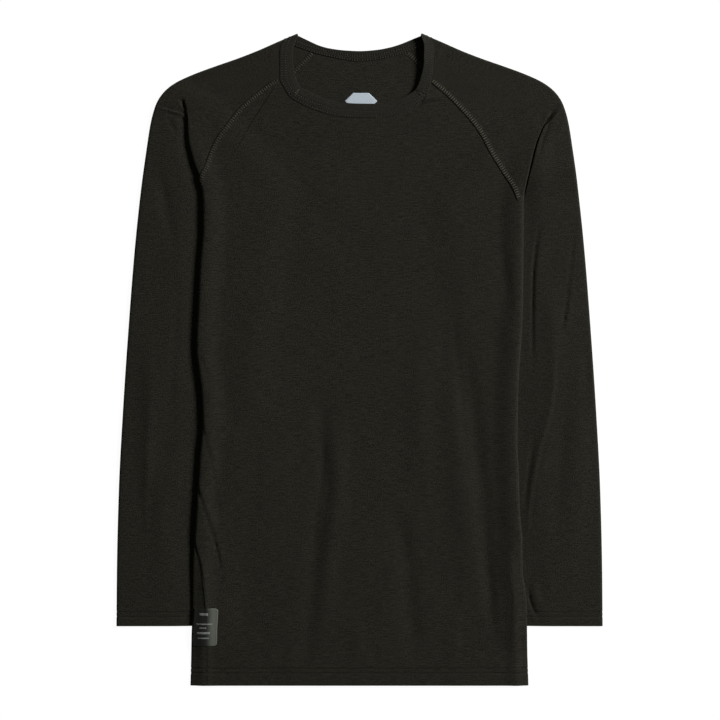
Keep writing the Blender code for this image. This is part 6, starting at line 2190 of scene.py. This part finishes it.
def build_side_seam(side, thread):
    """Side seam of the body, from the underarm point round its edge to the hem."""
    rows = []
    last = HEM_Y + HEM_END_STEP
    for y in spaced(UNDERARM_Y - SEAM_START, last, SIDE_STITCH / 2.0) + [last]:
        section, _, edge_index = body_side(side, y)
        way = length_along(section)
        seam = way[edge_index] + float(seam_round[side.name](y))
        points = points_at(section, way, seam + np.asarray(SEAM_OFFSETS) * SIDE_NARROW)
        rows.append(with_hem(mirrored(lay(points, y), side), y))
    points, normals = snap(cloth_surface("front_panel_cloth", "back_panel_cloth"), np.array(rows))
    trim = Trim()
    line = cover(trim, points, normals, SIDE_COVER)[::2, 3]
    outward = normals[::2, 3]
    seen = np.ones(len(line) - 1, bool) if side is RIGHT else outward[:-1, 2] < LEFT_STITCH_TILT
    trim.add_threads(line[:-1][seen], line[1:][seen], outward[:-1][seen],
                     sizes().thread / MM * HEM_PART, 0.0, 1)
    name = side.name.replace("sleeve", "side_seam")
    return place_trim(trim.finish(name, [body_jersey(), thread]))


def line_of_stitches(trim, line, tree):
    """One stitch after another along a line of points."""
    points, normals = snap(tree, spread(line, HEM_STITCH))
    gaps = (points[1:] - points[:-1]) * HEM_STITCH_GAP / HEM_STITCH / 2.0
    radius = sizes().thread / MM * HEM_PART
    trim.add_threads(points[:-1] + gaps, points[1:] - gaps, normals[:-1], radius, 0.0, 0)


def build_hem_stitching():
    """Two rows of stitches round the hem of the body."""
    tree = cloth_surface("front_panel_cloth", "back_panel_cloth")
    trim = Trim()
    for line in HEM_LINES:
        for rows in (front_rows, back_rows):
            line_of_stitches(trim, rows([HEM_Y + line])[0], tree)
    return place_trim(trim.finish("hem_stitching", [dark_thread_and_shade()]))


def build_cuff_stitching(side):
    """Two rows of stitches round a cuff."""
    tree = cloth_surface(side.name + "_cloth")
    trim = Trim()
    for line in CUFF_LINES:
        _, row = arm_rows(side, SLEEVE_CELLS, [CUFF_Y + line], None)
        line_of_stitches(trim, mirrored(row, side), tree)
    return place_trim(trim.finish(side.name + "_cuff_stitching", [dark_thread_and_shade()]))


def across_band(rows, distances):
    """Points of the band's rows at distances from its sewn edge."""
    return np.array([points_at(row, length_along(row), distances) for row in rows])


def band_cover(trim, rows, lines, tree, inner=0.0):
    """Two narrow rows of cover stitching along part of the band."""
    distances = [line + BAND_COVER_HALF * way for line in lines for way in (-1.0, 1.0)]
    grid = spread(across_band(rows, distances), sizes().stitch / MM / 2.0)
    points, normals = snap(tree, grid, inner)
    points = points + normals * proud(normals, sizes().thread / MM * THREAD_PROUD)[..., None]
    for line in (0, 1):
        ladder(trim, points[:, 2 * line], points[:, 2 * line + 1], normals[:, 0], 0, 2)


def mitre_tacks(trim, row, next_row, tree, numbers):
    """A few long stitches along a mitre, towards the band's free edge."""
    along = unit(next_row - row)
    radius = sizes().thread / MM * TACK_PART
    for offset, start, end, number in zip(TACKS["offset"], TACKS["start"], TACKS["end"], numbers):
        points, normals = snap(tree, across_band([row + along * offset], (start, end))[0])
        trim.add_threads(points[:1], points[1:], normals[:1], radius, radius, number)


def build_band_stitching():
    """Cover stitching round the neck band: on its outside, and inside at the back."""
    for name in ("neck_band_front_cloth", "neck_band_back_cloth"):
        rows = band_lines[name]
        tree = cloth_surface(name)
        trim = Trim()
        band_cover(trim, rows, BAND_LINES, tree)
        low = [row for row in rows if row[:, 2].max() < LOW_BAND]
        if low:
            band_cover(trim, low, BACK_BAND_LINES, tree, sizes().band / MM)
        else:
            mitre_tacks(trim, rows[0], rows[1], tree, (1, 2, 0))
            mitre_tacks(trim, rows[-1], rows[-2], tree, (2, 0, 2))
        materials = [seam_thread(), pale_thread(), dark_thread_and_shade()]
        place_trim(trim.finish(name.replace("cloth", "stitching"), materials))


# --------------------------------------------------------------------------------------- stage

VIEW_WIDTH = 0.7776     # at the height below
VIEW_HEIGHT = 0.003
VIEW_CENTRE = (0.0005, -0.0005)
LENS = 90.0
SENSOR = 36.0
TABLE_HALF = 15.0       # half the table's side
TABLE_GLOW = 0.965      # light that it gives off, so that it shows white
KEY_PLACE = (4.05, 1.75, 2.5)
KEY_SIZE = (1.3, 1.3)
KEY_POWER = 341.0
FILL_STRENGTH = 0.07    # of the even light from all round


def build_camera():
    """Camera straight above the top."""
    data = bpy.data.cameras.new("Camera")
    data.lens = LENS
    data.sensor_width = SENSOR
    data.clip_end = 100.0
    camera = bpy.data.objects.new("Camera", data)
    distance = VIEW_WIDTH * LENS / SENSOR
    camera.location = (*VIEW_CENTRE, VIEW_HEIGHT + distance)
    bpy.context.scene.collection.objects.link(camera)
    bpy.context.scene.camera = camera


def build_key_light():
    """A soft box that looks at the middle of the table."""
    data = bpy.data.lights.new("key", "AREA")
    data.shape = "RECTANGLE"
    data.size, data.size_y = KEY_SIZE
    data.energy = KEY_POWER
    lamp = bpy.data.objects.new("key", data)
    lamp.location = KEY_PLACE
    lamp.rotation_euler = (-Vector(KEY_PLACE)).to_track_quat("-Z", "Y").to_euler()
    lamp.visible_camera = False
    bpy.context.scene.collection.objects.link(lamp)


def build_stage():
    """Pale table, soft light from the upper right and an even fill."""
    corners_at = [(across * TABLE_HALF, along * TABLE_HALF, 0.0)
                  for across, along in ((-1, -1), (1, -1), (1, 1), (-1, 1))]
    mesh = bpy.data.meshes.new("table_top")
    mesh.from_pydata(corners_at, [], [(0, 1, 2, 3)])
    material = bpy.data.materials.new("Pale table")
    material.use_nodes = True
    shader = material.node_tree.nodes["Principled BSDF"]
    shader.inputs["Base Color"].default_value = (0.08, 0.08, 0.08, 1.0)
    shader.inputs["Roughness"].default_value = 0.9
    shader.inputs["Emission Color"].default_value = (1.0, 1.0, 1.0, 1.0)
    shader.inputs["Emission Strength"].default_value = TABLE_GLOW
    mesh.materials.append(material)
    table_top = bpy.data.objects.new("table_top", mesh)
    bpy.context.scene.collection.objects.link(table_top)
    build_key_light()
    world = bpy.data.worlds.new("Studio")
    world.use_nodes = True
    background = world.node_tree.nodes["Background"]
    background.inputs["Color"].default_value = (1.0, 1.0, 1.0, 1.0)
    background.inputs["Strength"].default_value = FILL_STRENGTH
    bpy.context.scene.world = world
    bpy.context.scene.view_settings.view_transform = "Standard"
    bpy.context.scene.view_settings.look = "None"


# ----------------------------------------------------------------------------------- operators


class BASELAYER_OT_stage(bpy.types.Operator):
    """Set up the table, the light and the camera"""

    bl_idname = "base_layer.stage"
    bl_label = "Stage"

    def execute(self, context):
        build_camera()
        build_stage()
        return {"FINISHED"}


class BASELAYER_OT_front(bpy.types.Operator):
    """Build the front panel's cloth"""

    bl_idname = "base_layer.front"
    bl_label = "Front panel"

    def execute(self, context):
        build_front()
        return {"FINISHED"}


class BASELAYER_OT_back(bpy.types.Operator):
    """Build the back panel's cloth"""

    bl_idname = "base_layer.back"
    bl_label = "Back panel"

    def execute(self, context):
        build_back()
        return {"FINISHED"}


class BASELAYER_OT_sleeves(bpy.types.Operator):
    """Build both sleeves' cloth"""

    bl_idname = "base_layer.sleeves"
    bl_label = "Sleeves"

    def execute(self, context):
        for side in (RIGHT, LEFT):
            build_sleeve(side)
        return {"FINISHED"}


class BASELAYER_OT_neck_band(bpy.types.Operator):
    """Build the folded neck band"""

    bl_idname = "base_layer.neck_band"
    bl_label = "Neck band"

    def execute(self, context):
        build_neck_band()
        return {"FINISHED"}


class BASELAYER_OT_labels(bpy.types.Operator):
    """Build the woven neck label and the satin care label"""

    bl_idname = "base_layer.labels"
    bl_label = "Labels"

    def execute(self, context):
        build_neck_label()
        build_care_label()
        return {"FINISHED"}


class BASELAYER_OT_seams(bpy.types.Operator):
    """Build the raglan and side seams with their cover stitching"""

    bl_idname = "base_layer.seams"
    bl_label = "Seams"

    def execute(self, context):
        build_raglan_seam(RIGHT, seam_thread())
        build_raglan_seam(LEFT, pale_thread())
        build_side_seam(RIGHT, dark_thread_and_shade())
        build_side_seam(LEFT, plain_thread())
        return {"FINISHED"}


class BASELAYER_OT_stitching(bpy.types.Operator):
    """Build the stitching of the hems and of the neck band"""

    bl_idname = "base_layer.stitching"
    bl_label = "Stitching"

    def execute(self, context):
        build_hem_stitching()
        for side in (RIGHT, LEFT):
            build_cuff_stitching(side)
        build_band_stitching()
        return {"FINISHED"}


class BASELAYER_OT_cloth(bpy.types.Operator):
    """Take no step: this operator does nothing"""

    bl_idname = "base_layer.cloth"
    bl_label = "State the cloth"

    def execute(self, context):
        return {"FINISHED"}


class BASELAYER_PT_panel(bpy.types.Panel):
    """Sizes, colours and steps of the base layer top"""

    bl_idname = "BASELAYER_PT_panel"
    bl_label = "Base Layer Top"
    bl_space_type = "VIEW_3D"
    bl_region_type = "UI"
    bl_category = "Base Layer"

    def draw(self, context):
        layout = self.layout
        for group in (context.scene.base_layer_sizes, context.scene.base_layer_colours):
            for name in group.__annotations__:
                layout.prop(group, name)
        for operator in OPERATORS:
            layout.operator(operator.bl_idname)


OPERATORS = (
    BASELAYER_OT_stage, BASELAYER_OT_front, BASELAYER_OT_back, BASELAYER_OT_sleeves,
    BASELAYER_OT_neck_band, BASELAYER_OT_labels, BASELAYER_OT_seams, BASELAYER_OT_stitching,
    BASELAYER_OT_cloth)
CLASSES = (BaseLayerSizes, BaseLayerColours) + OPERATORS + (BASELAYER_PT_panel,)


def register():
    """Register the classes and the scene's settings."""
    for each in CLASSES:
        bpy.utils.register_class(each)
    bpy.types.Scene.base_layer_sizes = bpy.props.PointerProperty(type=BaseLayerSizes)
    bpy.types.Scene.base_layer_colours = bpy.props.PointerProperty(type=BaseLayerColours)


def unregister():
    """Undo register."""
    del bpy.types.Scene.base_layer_colours
    del bpy.types.Scene.base_layer_sizes
    for each in reversed(CLASSES):
        bpy.utils.unregister_class(each)


def main():
    """Build the whole scene."""
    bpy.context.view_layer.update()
    register()
    bpy.ops.base_layer.stage()
    bpy.ops.base_layer.back()
    bpy.ops.base_layer.sleeves()
    bpy.ops.base_layer.front()
    bpy.ops.base_layer.neck_band()
    bpy.ops.base_layer.labels()
    bpy.ops.base_layer.seams()
    bpy.ops.base_layer.stitching()
    bpy.ops.base_layer.cloth()


if __name__ == "__main__":
    main()
